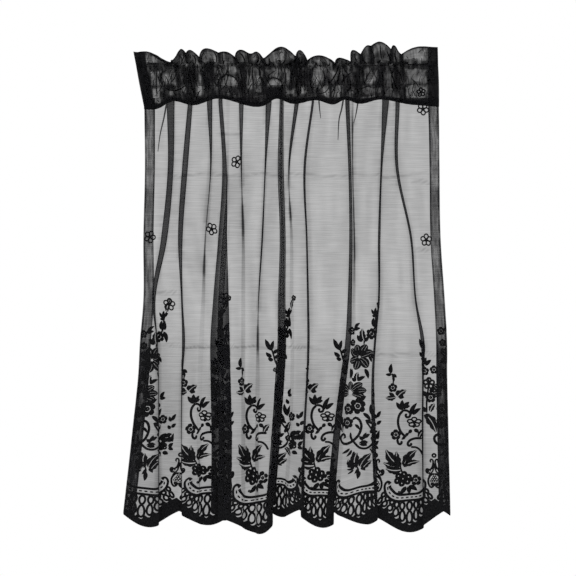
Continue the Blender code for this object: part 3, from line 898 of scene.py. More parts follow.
# %% Layers of net in the heading
RUFFLE_LAYERS, POCKET_LAYERS = 1.9, 2.3
POCKET_HEM_LAYERS, POCKET_HEM_BAND = 2.9, 8.5
ARCH_LAYERS = 1.25
RIM_BAND, DIP_BAND, SEAM_BAND = 1.6, 2.2, 3.0
SIDE_BAND, EDGE_BLUR = 13.5, 1.5
FEWEST_LAYERS, MOST_LAYERS = 0.85, 7
fine_streaks = blotches(head_x + 0.12 * head_z, head_z, 1.7, 11.0, 11)
broad_streaks = blotches(head_x - 0.1 * head_z, head_z, 4.6, 9.0, 12)
crumples = blotches(head_x, head_z, 2.4, 3.4, 13)
streaks = 0.5 * fine_streaks + 0.4 * broad_streaks + 0.35 * crumples
layers = np.where(head_z > 0, RUFFLE_LAYERS, POCKET_LAYERS)
layers += (POCKET_HEM_LAYERS - layers) * np.exp(-((head_z - pocket) / POCKET_HEM_BAND)**4)
drift_x = head_x + 2.4 * blotches(head_x, head_z, 6.0, 7.0, 15) + 0.8 * crumples
drift_z = head_z + 3.2 * blotches(head_x, head_z, 7.0, 6.0, 16) + 0.8 * crumples
for box in BUNCHED + SLACK:
    layers += (box.layers - layers) * soft_box(drift_x, drift_z, box)
for arch in ARCHES:
    out = np.hypot((head_x - arch.x) / arch.half_width, (head_z - arch.foot) / arch.height)
    above = np.clip((head_z - arch.foot) / EDGE_BLUR + 0.5, 0, 1)
    layers += (ARCH_LAYERS - layers) * above * np.clip((1.0 - out) * 9, 0, 1)
layers *= 1 + 0.5 * streaks
ruffle = head_z > 1.5
layers += 1.5 * np.exp(-((top - head_z) / RIM_BAND)**2)
layers += np.where(ruffle, 1.6 * np.exp(-(from_start / DIP_BAND)**2), 0)
at_seam = np.exp(-((head_z + 0.3) / SEAM_BAND)**2)
layers += 0.5 * at_seam * (1 + 2 * blotches(head_x, head_z, 4.0, 9.0, 14))
from_side = np.minimum(head_x - left_x, right_x - head_x)
layers += 1.5 * np.clip((SIDE_BAND - from_side) / EDGE_BLUR, 0, 1)
slope = np.gradient(pleats, axis=1) / np.gradient(head_x, axis=1)
layers *= 0.9 + 0.1 * np.sqrt(1 + slope**2)
layers = np.clip(layers, FEWEST_LAYERS, MOST_LAYERS)

ring_length = np.linspace(0, around[-1], HEADING_RINGS)[:, None]
head_uv = np.stack(np.broadcast_arrays(along * FLAT_WIDTH, 600 + ring_length), axis=-1)
heading = make_object("net_heading", head_points.reshape(-1, 3),
                      sheet_faces(*head_x.shape).tolist(), head_uv.reshape(-1, 2),
                      layers.ravel(), GATHERED)
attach(heading, "root")
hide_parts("heading")

# %% [markdown]
# Lace ribbons
#
# In the real cloth the motifs are the same knit, worked so dense that it stops the light. Each
# leaf, petal, scroll and loop here is a slim closed pillow: a path in flat places, with a width
# that changes along it. We gather all the paths of one motif, give each the same number of
# steps, and work out every pillow at once.

# %% Ribbons along flat paths
PILLOW = 0.35
VEIN = 0.5


def quarter_turn(ahead):
    """Each direction turned a quarter to the left."""
    return np.stack((-ahead[..., 1], ahead[..., 0]), axis=-1)


def full_turn(steps):
    """Angles evenly round a circle, the first not repeated."""
    return np.linspace(0, 2 * np.pi, steps, endpoint=False)


def smooth_path(points, steps):
    """Catmull-Rom curve: passes through every point, bending evenly between them."""
    p = np.asarray(points, float)
    p = np.vstack((2 * p[0] - p[1], p, 2 * p[-1] - p[-2]))
    t = np.linspace(0, len(p) - 3, steps)
    i = np.minimum(t.astype(int), len(p) - 4)
    f = (t - i)[:, None]
    a, b, c, d = p[i], p[i + 1], p[i + 2], p[i + 3]
    return 0.5 * (2 * b + (c - a) * f + (2 * a - 5 * b + 4 * c - d) * f**2
                  + (3 * b - a - 3 * c + d) * f**3)


def even_path(points, steps):
    """Smooth path through the points, with its steps evenly spaced."""
    path = smooth_path(points, 300)
    length = np.r_[0, np.cumsum(np.linalg.norm(np.diff(path, axis=0), axis=1))]
    at = np.linspace(0, length[-1], steps)
    return np.stack([np.interp(at, length, path[:, k]) for k in range(2)], axis=1)


def ribbon_parts(hang, paths, half_widths, across=2, closed=False):
    """Points, faces and flat places of many ribbons at once.

    paths is (ribbon, step, 2) in mm and half_widths (ribbon, step). The section is a flat
    diamond, or a flat oval for wide ribbons, so every ribbon is a closed pillow. hang takes the
    places and how far they stand off the cloth to points in space.
    """
    count, steps = half_widths.shape
    if closed:
        ahead = np.roll(paths, -1, axis=1) - np.roll(paths, 1, axis=1)
    else:
        ahead = np.gradient(paths, axis=1)
    ahead = ahead / np.maximum(np.linalg.norm(ahead, axis=2, keepdims=True), 1e-9)
    side = quarter_turn(ahead)
    round_it = full_turn(2 * across)
    places = paths[:, :, None, :] + side[:, :, None, :] * (
        half_widths[:, :, None, None] * np.cos(round_it)[:, None])
    lift = np.sin(round_it) * np.minimum(PILLOW, 0.5 * half_widths)[:, :, None]
    points = hang(places[..., 0], places[..., 1], lift)
    ring = 2 * across
    r, k, j = np.mgrid[0:count, 0:steps if closed else steps - 1, 0:ring]
    start = r * steps * ring
    here = start + k * ring
    there = start + ((k + 1) % steps) * ring
    after = (j + 1) % ring
    quads = np.stack((here + j, there + j, there + after, here + after), axis=-1)
    faces = quads.reshape(-1, 4).tolist()
    if not closed:
        first = np.arange(count)[:, None] * steps * ring + np.arange(ring)
        faces += first.tolist()
        faces += (first + (steps - 1) * ring)[:, ::-1].tolist()
    return points.reshape(-1, 3), faces, places.reshape(-1, 2)


class LaceWork:
    """Collects the ribbons of one piece of lace and makes one object of them.

    place is a function that takes points of a drawing to their flat places on the cloth, and
    hang takes those to points in space. spread is how far dense knit swells past its drawing.
    """

    def __init__(self, hang=drape, place=None, spread=0.13):
        self.hang = hang
        self.place = place
        self.spread = spread
        self.points = []
        self.faces = []
        self.places = []
        self.count = 0

    def add(self, paths, half_widths, across=2, closed=False):
        """Adds ribbons, leaving out those that lie wholly past the cloth's edges."""
        paths = self.place(np.asarray(paths, float))
        half_widths = np.asarray(half_widths, float) + self.spread
        if self.hang is drape:
            keep = (paths[..., 0].max(axis=1) > 1.5) & (paths[..., 0].min(axis=1) < FLAT_WIDTH - 1.5)
            if not keep.any():
                return
            paths = paths[keep]
            half_widths = half_widths[keep]
        points, faces, places = ribbon_parts(self.hang, paths, half_widths, across, closed)
        self.faces += [[corner + self.count for corner in face] for face in faces]
        self.points.append(points)
        self.places.append(places)
        self.count += len(points)

    def finish(self, name, material=None, layers=1.0):
        """One object of all the ribbons, of lace thread unless a net is named."""
        points = np.vstack(self.points)
        piece = make_object(name, points, self.faces, np.vstack(self.places),
                            np.full(len(points), layers), material or LACE)
        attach(piece, "root")
        return piece


# %% Leaves and petals
def along_and_across(table, steps, bend):
    """Middle lines of rows of base and tip, slightly bent, and the unit vectors across them."""
    u = np.linspace(0, 1, steps)
    base = table[:, 0:2]
    ahead = table[:, 2:4] - base
    side = quarter_turn(ahead)
    line = base[:, None, :] + ahead[:, None, :] * u[:, None]
    line = line + side[:, None, :] * (bend * np.sin(np.pi * u))[:, None]
    return u, line, (side / np.linalg.norm(side, axis=1, keepdims=True))[:, None, :]


def leaf_ribbons(work, leaves):
    """Leaves given as base, tip and width: broad near the base, pointed at the tip.

    A wide leaf is two halves with a slim gap for its vein, and its outer rims are toothed.
    """
    table = np.asarray(leaves, float)
    u, line, unit = along_and_across(table, 14, 0.08)
    half = 0.5 * table[:, 4:5] * np.sin(np.pi * u**0.8)**0.8 + 0.12
    wide = table[:, 4] > 5.9
    if (~wide).any():
        work.add(line[~wide], half[~wide])
    if wide.any():
        toothed = half[wide] / 2 * (1 + 0.15 * np.sin(2 * np.pi * 3.2 * u))
        strip = np.maximum(toothed - VEIN / 2, 0.1)
        for sign in (-1, 1):
            work.add(line[wide] + unit[wide] * (sign * (VEIN + strip))[..., None], strip, across=3)


def petal_ribbons(work, petals):
    """Broad petals given as foot, tip and width: three strips side by side, widest past the middle.

    The half width follows a sine of the share of the length raised to 1.3, so the tip is round.
    """
    table = np.asarray(petals, float)
    u, line, unit = along_and_across(table, 11, 0.05)
    half = 0.5 * table[:, 4:5] * np.sin(np.pi * (0.07 + 0.93 * u**1.3))**0.6
    strip = np.maximum(half / 3 - 0.27, 0.15)
    for k in (-1, 0, 1):
        work.add(line + unit * (2 / 3 * k * half)[..., None], strip, across=3)


# %% Flowers and scrolls
def ring_ribbon(work, s, v, radius, half_width):
    """A closed ring."""
    turn = full_turn(14)
    path = np.array((s, v)) + radius * np.stack((np.cos(turn), np.sin(turn)), axis=1)
    work.add(path[None], np.full((1, 14), half_width), closed=True)


def rosette_ribbons(work, rosettes):
    """Small dense flowers, given as centre, radius and petals: short fat petals and a ringed eye."""
    steps = 8
    u = np.linspace(0, 1, steps)
    for s, v, radius, petals in rosettes:
        turn = 2 * np.pi * np.arange(int(petals)) / petals + 0.4
        out = np.stack((np.cos(turn), np.sin(turn)), axis=1)
        line = np.array((s, v)) + out[:, None, :] * (radius * (0.36 + 0.64 * u))[:, None]
        half = radius * 2.2 / petals * np.sin(np.pi * (0.14 + 0.74 * u))**0.8
        work.add(line, np.broadcast_to(half, (len(turn), steps)))
        ring_ribbon(work, s, v, 0.17 * radius, 0.12 * radius)


def ringed_rose(work, s, v, radius):
    """A rose wider than high: seven dense round petals with light gaps between and small eyes."""
    turn = 2 * np.pi * np.arange(6) / 6 + 0.3
    spots = [(s, v)]
    spots += [(s + 0.67 * radius * np.cos(a), v + 0.5 * radius * np.sin(a)) for a in turn]
    for spot in spots:
        ring_ribbon(work, *spot, 0.22 * radius, 0.145 * radius)


def scroll_ribbons(work, scrolls, fade=0.0):
    """Scrolls given as a half width and the points of a smooth path, with rounded ends.

    With fade they grow slimmer towards their last point, by that share.
    """
    steps = 30
    u = np.linspace(0, 1, steps)
    ends = np.clip(np.minimum(u, 1 - u) * 14, 0, 1)**0.5 * (1 - fade * u)
    for half_width, points in scrolls:
        work.add(even_path(points, steps)[None], (half_width * (0.25 + 0.75 * ends))[None])


def outline_flower(work, s, v, radius, squash, stroke, tilt):
    """An open flower drawn in outline: five looped petals round a small eye."""
    t = full_turn(16)
    loop = np.stack((0.6 * radius + 0.4 * radius * np.cos(t), 0.37 * radius * np.sin(t)), axis=1)
    for angle in 2 * np.pi * np.arange(5) / 5 + tilt:
        spin = np.array(((np.cos(angle), -np.sin(angle)), (np.sin(angle), np.cos(angle))))
        path = loop @ spin.T * (1, squash) + (s, v)
        work.add(path[None], np.full((1, 16), stroke), closed=True)
    ring_ribbon(work, s, v, 0.09 * radius, 0.07 * radius)


# %% [markdown]
# Where the sprays hang
#
# Two sprays take turns along the cloth. They are drawn once, from the middle of their scallop and
# from the valley line, and each is then laid where the photo shows it. The folds took up cloth
# unevenly, so a spray has one place at its foot and another at its top.

# %% Places of the sprays
# Middle of each spray on the flat cloth, and how far it is raised, at these heights of its
# drawing
SPRAY_HEIGHTS = (34, 54, 94, 125, 154)
Spray = namedtuple("Spray", "middle lift")
LEAF_SPRAYS = (
    Spray((106, 97.5, 97.5, 91, 89.3), (6, 9, 7.3, 9, 5.1)),
    Spray((249, 245, 243.5, 241.5, 238.8), (3.6, 8, 7.3, 6.7, 7.1)),
    Spray((386, 384.5, 385, 384.6, 384.6), (-1.5, 4.5, 7.5, 6.7, 6.7)),
    Spray((529, 528, 529.6, 529.4, 530), (-0.6, 0.7, 0, 0.5, -1)),
)
ROSE_SPRAYS = (
    Spray((20.5, 23, 21, 20.8, 20.8), (2, 5, -4, -4, -4)),
    Spray((175.6, 175.6, 175.6, 175.6, 175.6), (4, 4, 0, 0, 0)),
    Spray((317.6, 317.6, 317.6, 317.6, 317.6), (4, 4, 0, 0, 0)),
    Spray((458.5, 459.5, 461, 462, 463), (4.3, 4.5, 0, 0, 0)),
    Spray((601.6, 601.6, 601.6, 601.6, 601.6), (0, 0, 0, 0, 0)),
)


def laid_as(spray):
    """Function that lays points of a spray's drawing on the cloth, shifted at each height."""
    def place(points):
        s, v = points[..., 0], points[..., 1]
        middle = np.interp(v, SPRAY_HEIGHTS, spray.middle)
        return np.stack((s + middle, v + np.interp(v, SPRAY_HEIGHTS, spray.lift)), axis=-1)
    return place


def laid_flat(points):
    """Leaves points of a drawing as they are."""
    return points


# %% [markdown]
# The leaf spray
#
# This one climbs from a ringed rose over big toothed leaves to a scroll, small flowers, an open
# flower in outline and a sprig. Each row is a leaf: where it starts, where its tip is, and its
# width.

# %% Leaf spray tables
LEAF_SPRAY_LEAVES = (
    (-18, 172, -19, 184, 5), (-17.5, 171, -25, 171, 3.6), (-17, 170, -11, 167, 4.2),
    (-16, 168, -14.5, 161.5, 3),
    (-11.5, 142, -24, 141, 6.4), (-13, 143, -19.5, 148, 4.5), (-9, 142.5, 1.5, 151, 7.4),
    (-8, 142, -1, 141, 5), (-10, 144, -8, 151, 4), (-1.5, 125.5, -10.5, 135, 5.4),
    (-1.5, 126, -3, 138, 5.6), (-1, 126, 5.5, 135.5, 5.4), (-2, 128, -8, 129, 3.8),
    (0, 128, 6.5, 130, 4), (7, 118, 15, 134, 5), (10, 119, 20, 127, 4.6), (8, 101, 4, 96.5, 4),
    (11, 101, 17, 97, 4.4), (10, 103, 14, 107.5, 3.6), (0.5, 93, -4, 88.5, 3.2),
    (1, 93, 5, 96.5, 3.4), (17, 91, 24, 101, 6.2),
    (-3, 55, -22.5, 75.5, 12), (-4, 56, -9.5, 73.5, 7.5), (0, 55, 15, 75, 10.5),
    (1, 56, 7, 69, 6), (0, 54.5, 19.5, 60.5, 6.6), (-4, 55, -24.5, 60, 7.4),
    (-2.5, 50.5, -21.5, 53.5, 8), (2.3, 30.5, -5.5, 22, 5.4), (4.6, 30, 6.2, 21, 5),
    (5.6, 30.5, 16, 24.5, 5.4),
)
LEAF_SPRAY_ROSETTES = (
    (-15.5, 154, 5.8, 5), (-11, 94.5, 6.6, 5), (14.5, 37.5, 6.8, 5), (-6, 24.5, 1.6, 4),
)
LEAF_SPRAY_SCROLLS = (
    (1.45, ((-1, 125), (-6.5, 119), (-8.5, 110), (-6.5, 101), (-2.5, 95), (2, 91.5))),
    (1.35, ((-2, 124.5), (3, 124), (6.5, 121), (6, 117), (2.5, 116), (1, 118.5), (3, 120))),
    (1.4, ((-9, 89), (-8, 84.5), (-5.5, 82.5), (-3.5, 84.5), (-4.5, 86.5))),
    (1.4, ((21, 90), (13, 90), (6.5, 87.5), (4, 83), (6, 80.5), (8.5, 82.5), (7, 84))),
    (1.15, ((8, 79), (14.5, 78.5), (19.5, 75), (23, 69))),
    (0.9, ((-4, 57), (-3, 52), (-1.5, 47))),
    (0.75, ((-17, 172), (-15, 163), (-15.5, 158))),
)

leaf_work = LaceWork()
for spray in LEAF_SPRAYS:
    leaf_work.place = laid_as(spray)
    leaf_ribbons(leaf_work, LEAF_SPRAY_LEAVES)
    rosette_ribbons(leaf_work, LEAF_SPRAY_ROSETTES)
    scroll_ribbons(leaf_work, LEAF_SPRAY_SCROLLS)
    ringed_rose(leaf_work, -1, 40, 10.8)
    outline_flower(leaf_work, 11.5, 110, 8.6, 0.68, 0.85, 0.3)
leaf_lace = leaf_work.finish("lace_leaf_sprays")

# %% [markdown]
# The rose spray
#
# The other spray is larger and denser. Two open flowers stand over a rosette, an S-shaped
# scroll holds a basket of small flowers, and two veined leaves close it below. Sprigs reach out
# to both sides and meet those of the leaf sprays.

# %% Rose spray tables
ROSE_SPRAY_LEAVES = (
    (22, 252, 27, 264, 6), (17, 244, 12.5, 251, 3.4), (17.5, 245, 18.5, 253, 3.2),
    (18, 245, 23.5, 250, 3.4), (17, 243, 12.5, 243, 3.2), (14, 229, 14.5, 240.5, 5),
    (18, 229, 18.5, 240.5, 5), (16, 227, 19.5, 213.5, 5), (0, 212, -1.5, 227, 7.4),
    (-2, 211, -8.5, 219, 5), (1, 211, 6.5, 216, 4.4), (-12.5, 226, -4, 234, 3.8),
    (-12, 225, -4, 227.5, 3.8), (9, 196, 14, 188.5, 3.4), (7, 193, 11.5, 185.5, 3.2),
    (-16, 177.5, -15.5, 165.5, 3), (-13, 177.5, -14, 164.5, 3), (3.5, 177, 8.5, 165, 4.6),
    (-6, 162.5, -5, 173, 6), (-5, 162, 4.5, 167.5, 4.4), (-7, 162, -12, 166, 4),
    (-2, 137, 5.5, 143, 5), (1.5, 122, 11, 112.5, 4.4), (4, 113, 13, 108.5, 4),
    (15, 118, 11, 133, 5), (16, 120, 19, 131, 4), (-8.5, 108, -2.5, 101.5, 3.2),
    (3, 89, 6, 98, 4), (4, 91, 10.5, 96, 4), (3, 89, -2.5, 93.5, 4), (11, 97, 15, 103, 3.8),
    (-2, 82.5, 9, 85, 6), (-1, 82, 8, 80.5, 4.2), (-13, 76, -22, 69, 3), (-10.5, 74, -16, 64.5, 3),
    (-7.5, 72, -10, 63, 3), (-5, 47, -13.5, 52.5, 2.8), (-5, 45.5, -13.5, 46, 2.8),
    (-5.5, 43.5, -12, 39.5, 2.8), (-4, 46, -4, 70, 12), (-5, 47, -13.5, 60, 8),
    (2, 47, 14, 69, 10), (5, 42, 15.5, 57, 8), (3, 45, 9, 40, 4.2), (0, 41, 0.8, 28, 5),
    (0, 45, -3.5, 37, 3.4),
    (17, 144, 21, 152, 4.2), (16, 143, 23, 144, 4), (17, 133, 14, 139, 4), (34, 116, 38, 124, 4),
    (33, 115, 30, 121, 4), (34, 107, 39, 112, 4), (33, 106, 29, 110, 4), (14, 99, 20, 111, 7),
    (20, 91, 28, 100, 5.2), (22, 90, 31, 91, 4.8), (27, 96, 35, 99, 4.4), (22, 88, 27, 82, 5),
    (32, 79, 37, 86, 4.4), (31, 78, 37, 75, 4), (20, 82, 26, 76, 5), (12, 77, 22, 64, 6.6),
    (24, 71, 31, 68, 5), (36, 88, 37, 100, 3.6), (34, 88, 31, 96, 3.6),
    (-50, 200, -58.5, 214, 5), (-50, 201, -48, 212, 4.2), (-48, 196, -41.5, 201, 4.2),
    (-50, 192, -57.5, 197.5, 4.6), (-48, 188, -54.5, 190.5, 4.2), (-46, 190, -41, 194, 3.8),
    (-39, 182, -36, 191, 4.6), (-37, 181, -30, 188, 4.6), (-38, 178, -43, 184, 4.2),
    (-32, 148, -25, 153, 5), (-34, 144, -42, 150, 5.4), (-36, 124, -42, 131, 5),
    (-32, 124, -26, 134, 6), (-33, 120, -40, 119, 4), (-38, 121, -25, 98, 11),
)
ROSE_SPRAY_PETALS = (
    (-5.5, 192.5, -18, 201.5, 9.5), (-5, 193, -9, 207, 10.5), (-3.5, 193, 3.5, 207, 11),
    (-3, 192, 12, 198.5, 10), (-3.5, 190.5, 7.5, 179, 11.5), (-5, 190.5, -8.5, 176, 10.5),
    (-5.5, 191, -18, 186, 9.5),
    (-13, 150, 1, 159, 9.5), (-11, 148, 6, 150.5, 9.5), (-12, 146, 4.5, 141, 8.5),
    (-17, 150, -27, 157.5, 9), (-17, 147, -29, 146, 9), (-15, 151, -13.5, 161.5, 8),
)
ROSE_SPRAY_ROSETTES = (
    (10, 220.5, 7, 6), (27, 265, 3.8, 5), (-17, 224, 5.2, 5), (-15.5, 209.5, 4.6, 5),
    (-5, 131, 10, 6), (-17, 127, 7.2, 5), (-18, 110, 7.4, 6), (4, 84, 4, 5),
    (22, 117.5, 5.8, 5), (29, 93, 5.2, 5), (16, 90, 4.6, 5),
    (-38, 174, 5.4, 5), (-26.5, 176, 5.4, 5), (-31, 141.5, 6.6, 5), (-45, 176, 2.8, 4),
)
ROSE_SPRAY_SCROLLS = (
    (1.55, ((-12, 113), (-8, 116.5), (-3, 113.5), (-0.5, 106), (-3, 96), (-9.5, 87.5),
            (-17.5, 82.5), (-25, 85), (-27.5, 91.5), (-23, 96), (-19.5, 92.5), (-22, 90))),
    (1.3, ((-13.5, 98), (-12.5, 91), (-7.5, 84), (-1, 77.5), (7, 76.5), (13, 81), (16, 87))),
    (1.0, ((-56.5, 212), (-50, 200), (-45, 186), (-40, 178))),
    (1.0, ((0, 207), (1, 212), (6, 216), (11, 222), (16, 232), (17.5, 243), (22, 252))),
    (1.0, ((5, 112), (13, 101), (18, 92), (22, 82))),
    (0.9, ((-2, 48), (0.5, 42), (0, 34))),
    (1.0, ((-33, 165), (-34, 152), (-36, 136), (-36, 122))),
)

rose_work = LaceWork()
for spray in ROSE_SPRAYS:
    rose_work.place = laid_as(spray)
    leaf_ribbons(rose_work, ROSE_SPRAY_LEAVES)
    petal_ribbons(rose_work, ROSE_SPRAY_PETALS)
    rosette_ribbons(rose_work, ROSE_SPRAY_ROSETTES)
    scroll_ribbons(rose_work, ROSE_SPRAY_SCROLLS)
    outline_flower(rose_work, -33, 159, 6.8, 1.0, 1.1, 0.3)
    outline_flower(rose_work, 23.7, 81, 5.6, 1.0, 1.0, 0.6)
rose_lace = rose_work.finish("lace_rose_sprays")

# %% [markdown]
# The border
#
# Under the sprays each scallop has the same edging. A ladder band hangs in a U with its ends
# curled over, figure-eight loops fan out below it, and a dense edge closes the cloth. A small
# ringed finial stands on each valley. The edging is drawn on an evenly repeating strip, and the
# table says where places of that strip lie on the flat cloth. Where a fold hides cloth, the
# table closes up.

# %% Places of the border
# Places on the strip and on the cloth. Four valleys lie where scallops of the hem start.
STRIP_TO_CLOTH = (
    (0, -21.8), (43.5, 21.2), (74.5, 54.5), (87, 69), (99.5, 87.2), (130.5, 117.5), (161.5, 147),
    (174, 158), (217.5, 184), (261, 210), (273.5, 220.5), (304.5, 260.5), (335.5, 290),
    (348, 300), (391.5, 326), (422.5, 350), (435, 357), (478.5, 392.3), (522, 424), (534.5, 432),
    (565.5, 463.4), (609, 494), (621.5, 507.5), (652.5, 536), (683.5, 560.5), (696, 573.5),
    (708.5, 586.5), (739.5, 612), (783, 645),
)
ON_STRIP, ON_CLOTH = np.array(STRIP_TO_CLOTH, float).T
REPEATS = 9


def laid_at(middle):
    """Function that lays points of the edging's drawing on the flat cloth, round one place."""
    def place(points):
        flat = np.interp(middle + points[..., 0], ON_STRIP, ON_CLOTH)
        return np.stack((flat, points[..., 1]), axis=-1)
    return place


# %% Ladder band
LADDER_OUTER = ((-25.8, 35.6), (-28.5, 38.6), (-31.6, 37), (-32.8, 33), (-31.6, 26), (-28, 20.4),
                (-23, 16.2), (-15, 12.9), (0, 12.2))
LADDER_INNER = ((-26.4, 33.6), (-25.2, 30.5), (-21.8, 26.4), (-18, 22.8), (-11.5, 20.2), (0, 19.8))
LADDER_DASHES = ((-29.3, 34), (-28.3, 28.2), (-25, 23.4), (-20.6, 19.4), (-13.2, 16.5), (0, 16))


def mirrored(half):
    """Adds the other half of a symmetric path, whose last point is on the middle line."""
    half = np.asarray(half, float)
    return np.vstack((half, (half[:-1] * (-1, 1))[::-1]))


def ladder_band(work):
    """Two rails with dashes between them. The outer rail curls in at both ends, into a knob."""
    steps = np.arange(72)
    from_end = np.minimum(steps, steps[::-1])
    for points, half_width, knob in ((LADDER_OUTER, 1.35, 0.7), (LADDER_INNER, 1.4, 0.4)):
        width = half_width + knob * np.exp(-(from_end / 1.6)**2)
        work.add(even_path(mirrored(points), 72)[None], width[None])
    middle = even_path(mirrored(LADDER_DASHES), 121)
    dashes = np.stack([middle[start:start + 7] for start in range(2, 114, 10)])
    work.add(dashes, np.tile((0.3, 0.7, 0.75, 0.75, 0.75, 0.7, 0.3), (len(dashes), 1)))


# %% Loops and dense edge
Loop = namedtuple("Loop", "head head_v foot upper lower")
LOOPS = (
    Loop(0, 10.2, 0, 3.5, 3.9), Loop(9.8, 10.6, 9.6, 3.1, 3.3), Loop(16.5, 12.2, 18.8, 3.0, 3.6),
    Loop(22.3, 15.2, 27.2, 2.8, 3.6), Loop(28, 20.4, 34.2, 2.8, 2.8),
    Loop(32.6, 26.5, 39.6, 2.0, 1.9),
)
FEET = [loop.foot for loop in LOOPS]
CROSSING = 0.42
LOOP_STROKE = 1.3
FOOT_GAP = 1.3


def edge_top(q):
    """Upper side of the dense edge, q from the middle of a scallop.

    The edge is 9.4 mm high at the lowest point and 15.9 at the valleys, with a hollow that
    follows each loop.
    """
    drop = scallop_drop(0.5 + q / REPEAT)
    order = np.interp(np.abs(q), FEET, np.arange(len(FEET)))
    hollow = 4.2 * (1 - np.abs(np.cos(np.pi * order)))**0.9
    return -SCALLOP_DEPTH * drop + 9.4 + 6.5 * (1 - drop)**0.7 + hollow


def figure_eights(work):
    """Loops fanned from the ladder band to the dense edge, each a figure of eight.

    With b the share of the way from the crossing to an end, each eye is 2.26 times b raised to
    0.7 times the root of 1 - b wide, and the stroke changes sides at the crossing. A slim light
    line stays between the loop's foot and the dense edge.
    """
    t = full_turn(44)
    down = 0.5 - 0.5 * np.cos(t)
    lower = down > CROSSING
    b = np.where(lower, (down - CROSSING) / (1 - CROSSING), (CROSSING - down) / CROSSING)
    eye = 2.26 * b**0.7 * np.sqrt(1 - b) * np.where(lower, 1, -1) * np.sign(np.sin(t) + 1e-9)
    for loop in LOOPS:
        for sign in (-1, 1) if loop.foot else (1,):
            head = np.array((sign * loop.head, loop.head_v))
            foot = np.array((sign * loop.foot, edge_top(loop.foot) + LOOP_STROKE + FOOT_GAP))
            ahead = foot - head
            side = quarter_turn(ahead) / np.linalg.norm(ahead)
            half = eye * np.where(lower, loop.lower, loop.upper)
            path = head + ahead * down[:, None] + side * half[:, None]
            work.add(path[None], np.full((1, len(t)), LOOP_STROKE), closed=True)


def dense_edge(name):
    """The solid scalloped edge: a closed pillow, thin at its rims, along the whole hem."""
    strip = np.linspace(0, REPEATS * REPEAT, 1400)
    flat = np.interp(strip, ON_STRIP, ON_CLOTH)
    on_cloth = (flat > 0.2) & (flat < FLAT_WIDTH - 0.2)
    flat = flat[on_cloth]
    _, share = scallop_place(flat)
    low = -SCALLOP_DEPTH * scallop_drop(share)
    high = np.maximum(edge_top(strip[on_cloth] % REPEAT - REPEAT / 2), low + 6)
    up = np.array((0, 0.04, 0.2, 0.5, 0.8, 0.96, 1, 0.96, 0.8, 0.5, 0.2, 0.04))
    lift = 0.45 * np.array((0, 0.6, 1, 1, 1, 0.6, 0, -0.6, -1, -1, -1, -0.6))
    v = low[:, None] + (high - low)[:, None] * up
    flat = np.broadcast_to(flat[:, None], v.shape)
    points = drape(flat, v, np.broadcast_to(lift, v.shape))
    steps, ring = v.shape
    k, j = np.mgrid[0:steps - 1, 0:ring]
    after = (j + 1) % ring
    quads = np.stack((k * ring + j, k * ring + after, (k + 1) * ring + after, (k + 1) * ring + j), -1)
    faces = quads.reshape(-1, 4).tolist()
    faces.append(list(range(ring - 1, -1, -1)))
    faces.append([(steps - 1) * ring + i for i in range(ring)])
    edge = make_object(name, points.reshape(-1, 3), faces,
                       flat_pairs(flat, v), np.ones(v.size), LACE)
    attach(edge, "root")
    return edge


# %% Finials on the valleys
FINIAL_STALK = ((3.6, 60.5), (4.6, 62.5), (3.6, 64.6), (1.9, 64), (1.2, 61.5), (1.8, 57),
                (3.2, 53.5), (5.6, 51.5), (8.4, 52.6), (9.6, 50.3), (8.6, 47.6), (6.2, 47.2),
                (5.2, 48.8))
FINIAL_LEG = ((0.4, 60), (0.9, 54), (2.2, 49.5), (5, 46), (6.8, 42))
FINIAL_DOME = ((0, 47), (4.5, 44.5), (7.2, 39), (6.8, 33), (4.2, 29.5), (1.4, 31.5), (0.6, 35))
DOME_ROWS = ((44.2, 0.0), (41.9, 1.35), (39.6, 2.7), (37.3, 4.05))


def finial(work):
    """A ringed knob on two beaded stalks with curls, over a dome of small rings with two hearts."""
    ring_ribbon(work, 0, 69.5, 2.0, 1.0)
    for sign in (-1, 1):
        flip = np.array((sign, 1))
        scroll_ribbons(work, ((1.0, FINIAL_STALK * flip), (0.8, FINIAL_LEG * flip),
                              (1.15, FINIAL_DOME * flip)))
        ring_ribbon(work, sign * 7.6, 49.8, 0.8, 0.75)
        ring_ribbon(work, sign * 2.6, 33.4, 1.2, 1.0)
        for v, reach in DOME_ROWS:
            for q in np.arange(reach, -0.1, -2.7):
                ring_ribbon(work, sign * q, v, 1.15, 0.34)
        for k in range(4):
            ring_ribbon(work, sign * (1.1 + 0.4 * k * k), 58.4 - 2.7 * k, 0.45, 0.4)


# %% Make the border
border = LaceWork()
for index in range(REPEATS):
    border.place = laid_at(REPEAT * (index + 0.5))
    ladder_band(border)
    figure_eights(border)
    border.place = laid_at(REPEAT * index)
    finial(border)
border_lace = border.finish("lace_border")
edge_lace = dense_edge("lace_edge")

# %% [markdown]
# Scattered flowers
#
# A few small open flowers are strewn over the plain net, each drawn in outline, about 15 mm
# across.

# %% Scattered flowers
SCATTERED = ((197, 434), (140, 351), (47, 257), (180, 264), (572, 337), (571, 500), (569, 521),
             (9, 341))
field = LaceWork(place=laid_flat)
for index, (s, v) in enumerate(SCATTERED):
    outline_flower(field, s, v, 7.4 if v < 510 else 5.4, 1.0, 0.75, 0.7 * index)
field_lace = field.finish("lace_scattered_flowers")

# %% [markdown]
# Rolls of slack net
#
# Where the gathers leave slack, the net rolls into slim dark creases. They are made like the
# lace, as slim pillows along smooth paths, but of see-through net. The largest ones are listed,
# a few below the pocket and many in the heading, where each is given by its two ends and its bow
# as seen from the room, and is laid on the heading's front wall. The finest are strewn with fixed
# seeds. Short ones along the gather seam stand for its bunching, and one line for the stitching
# that closes the pocket.

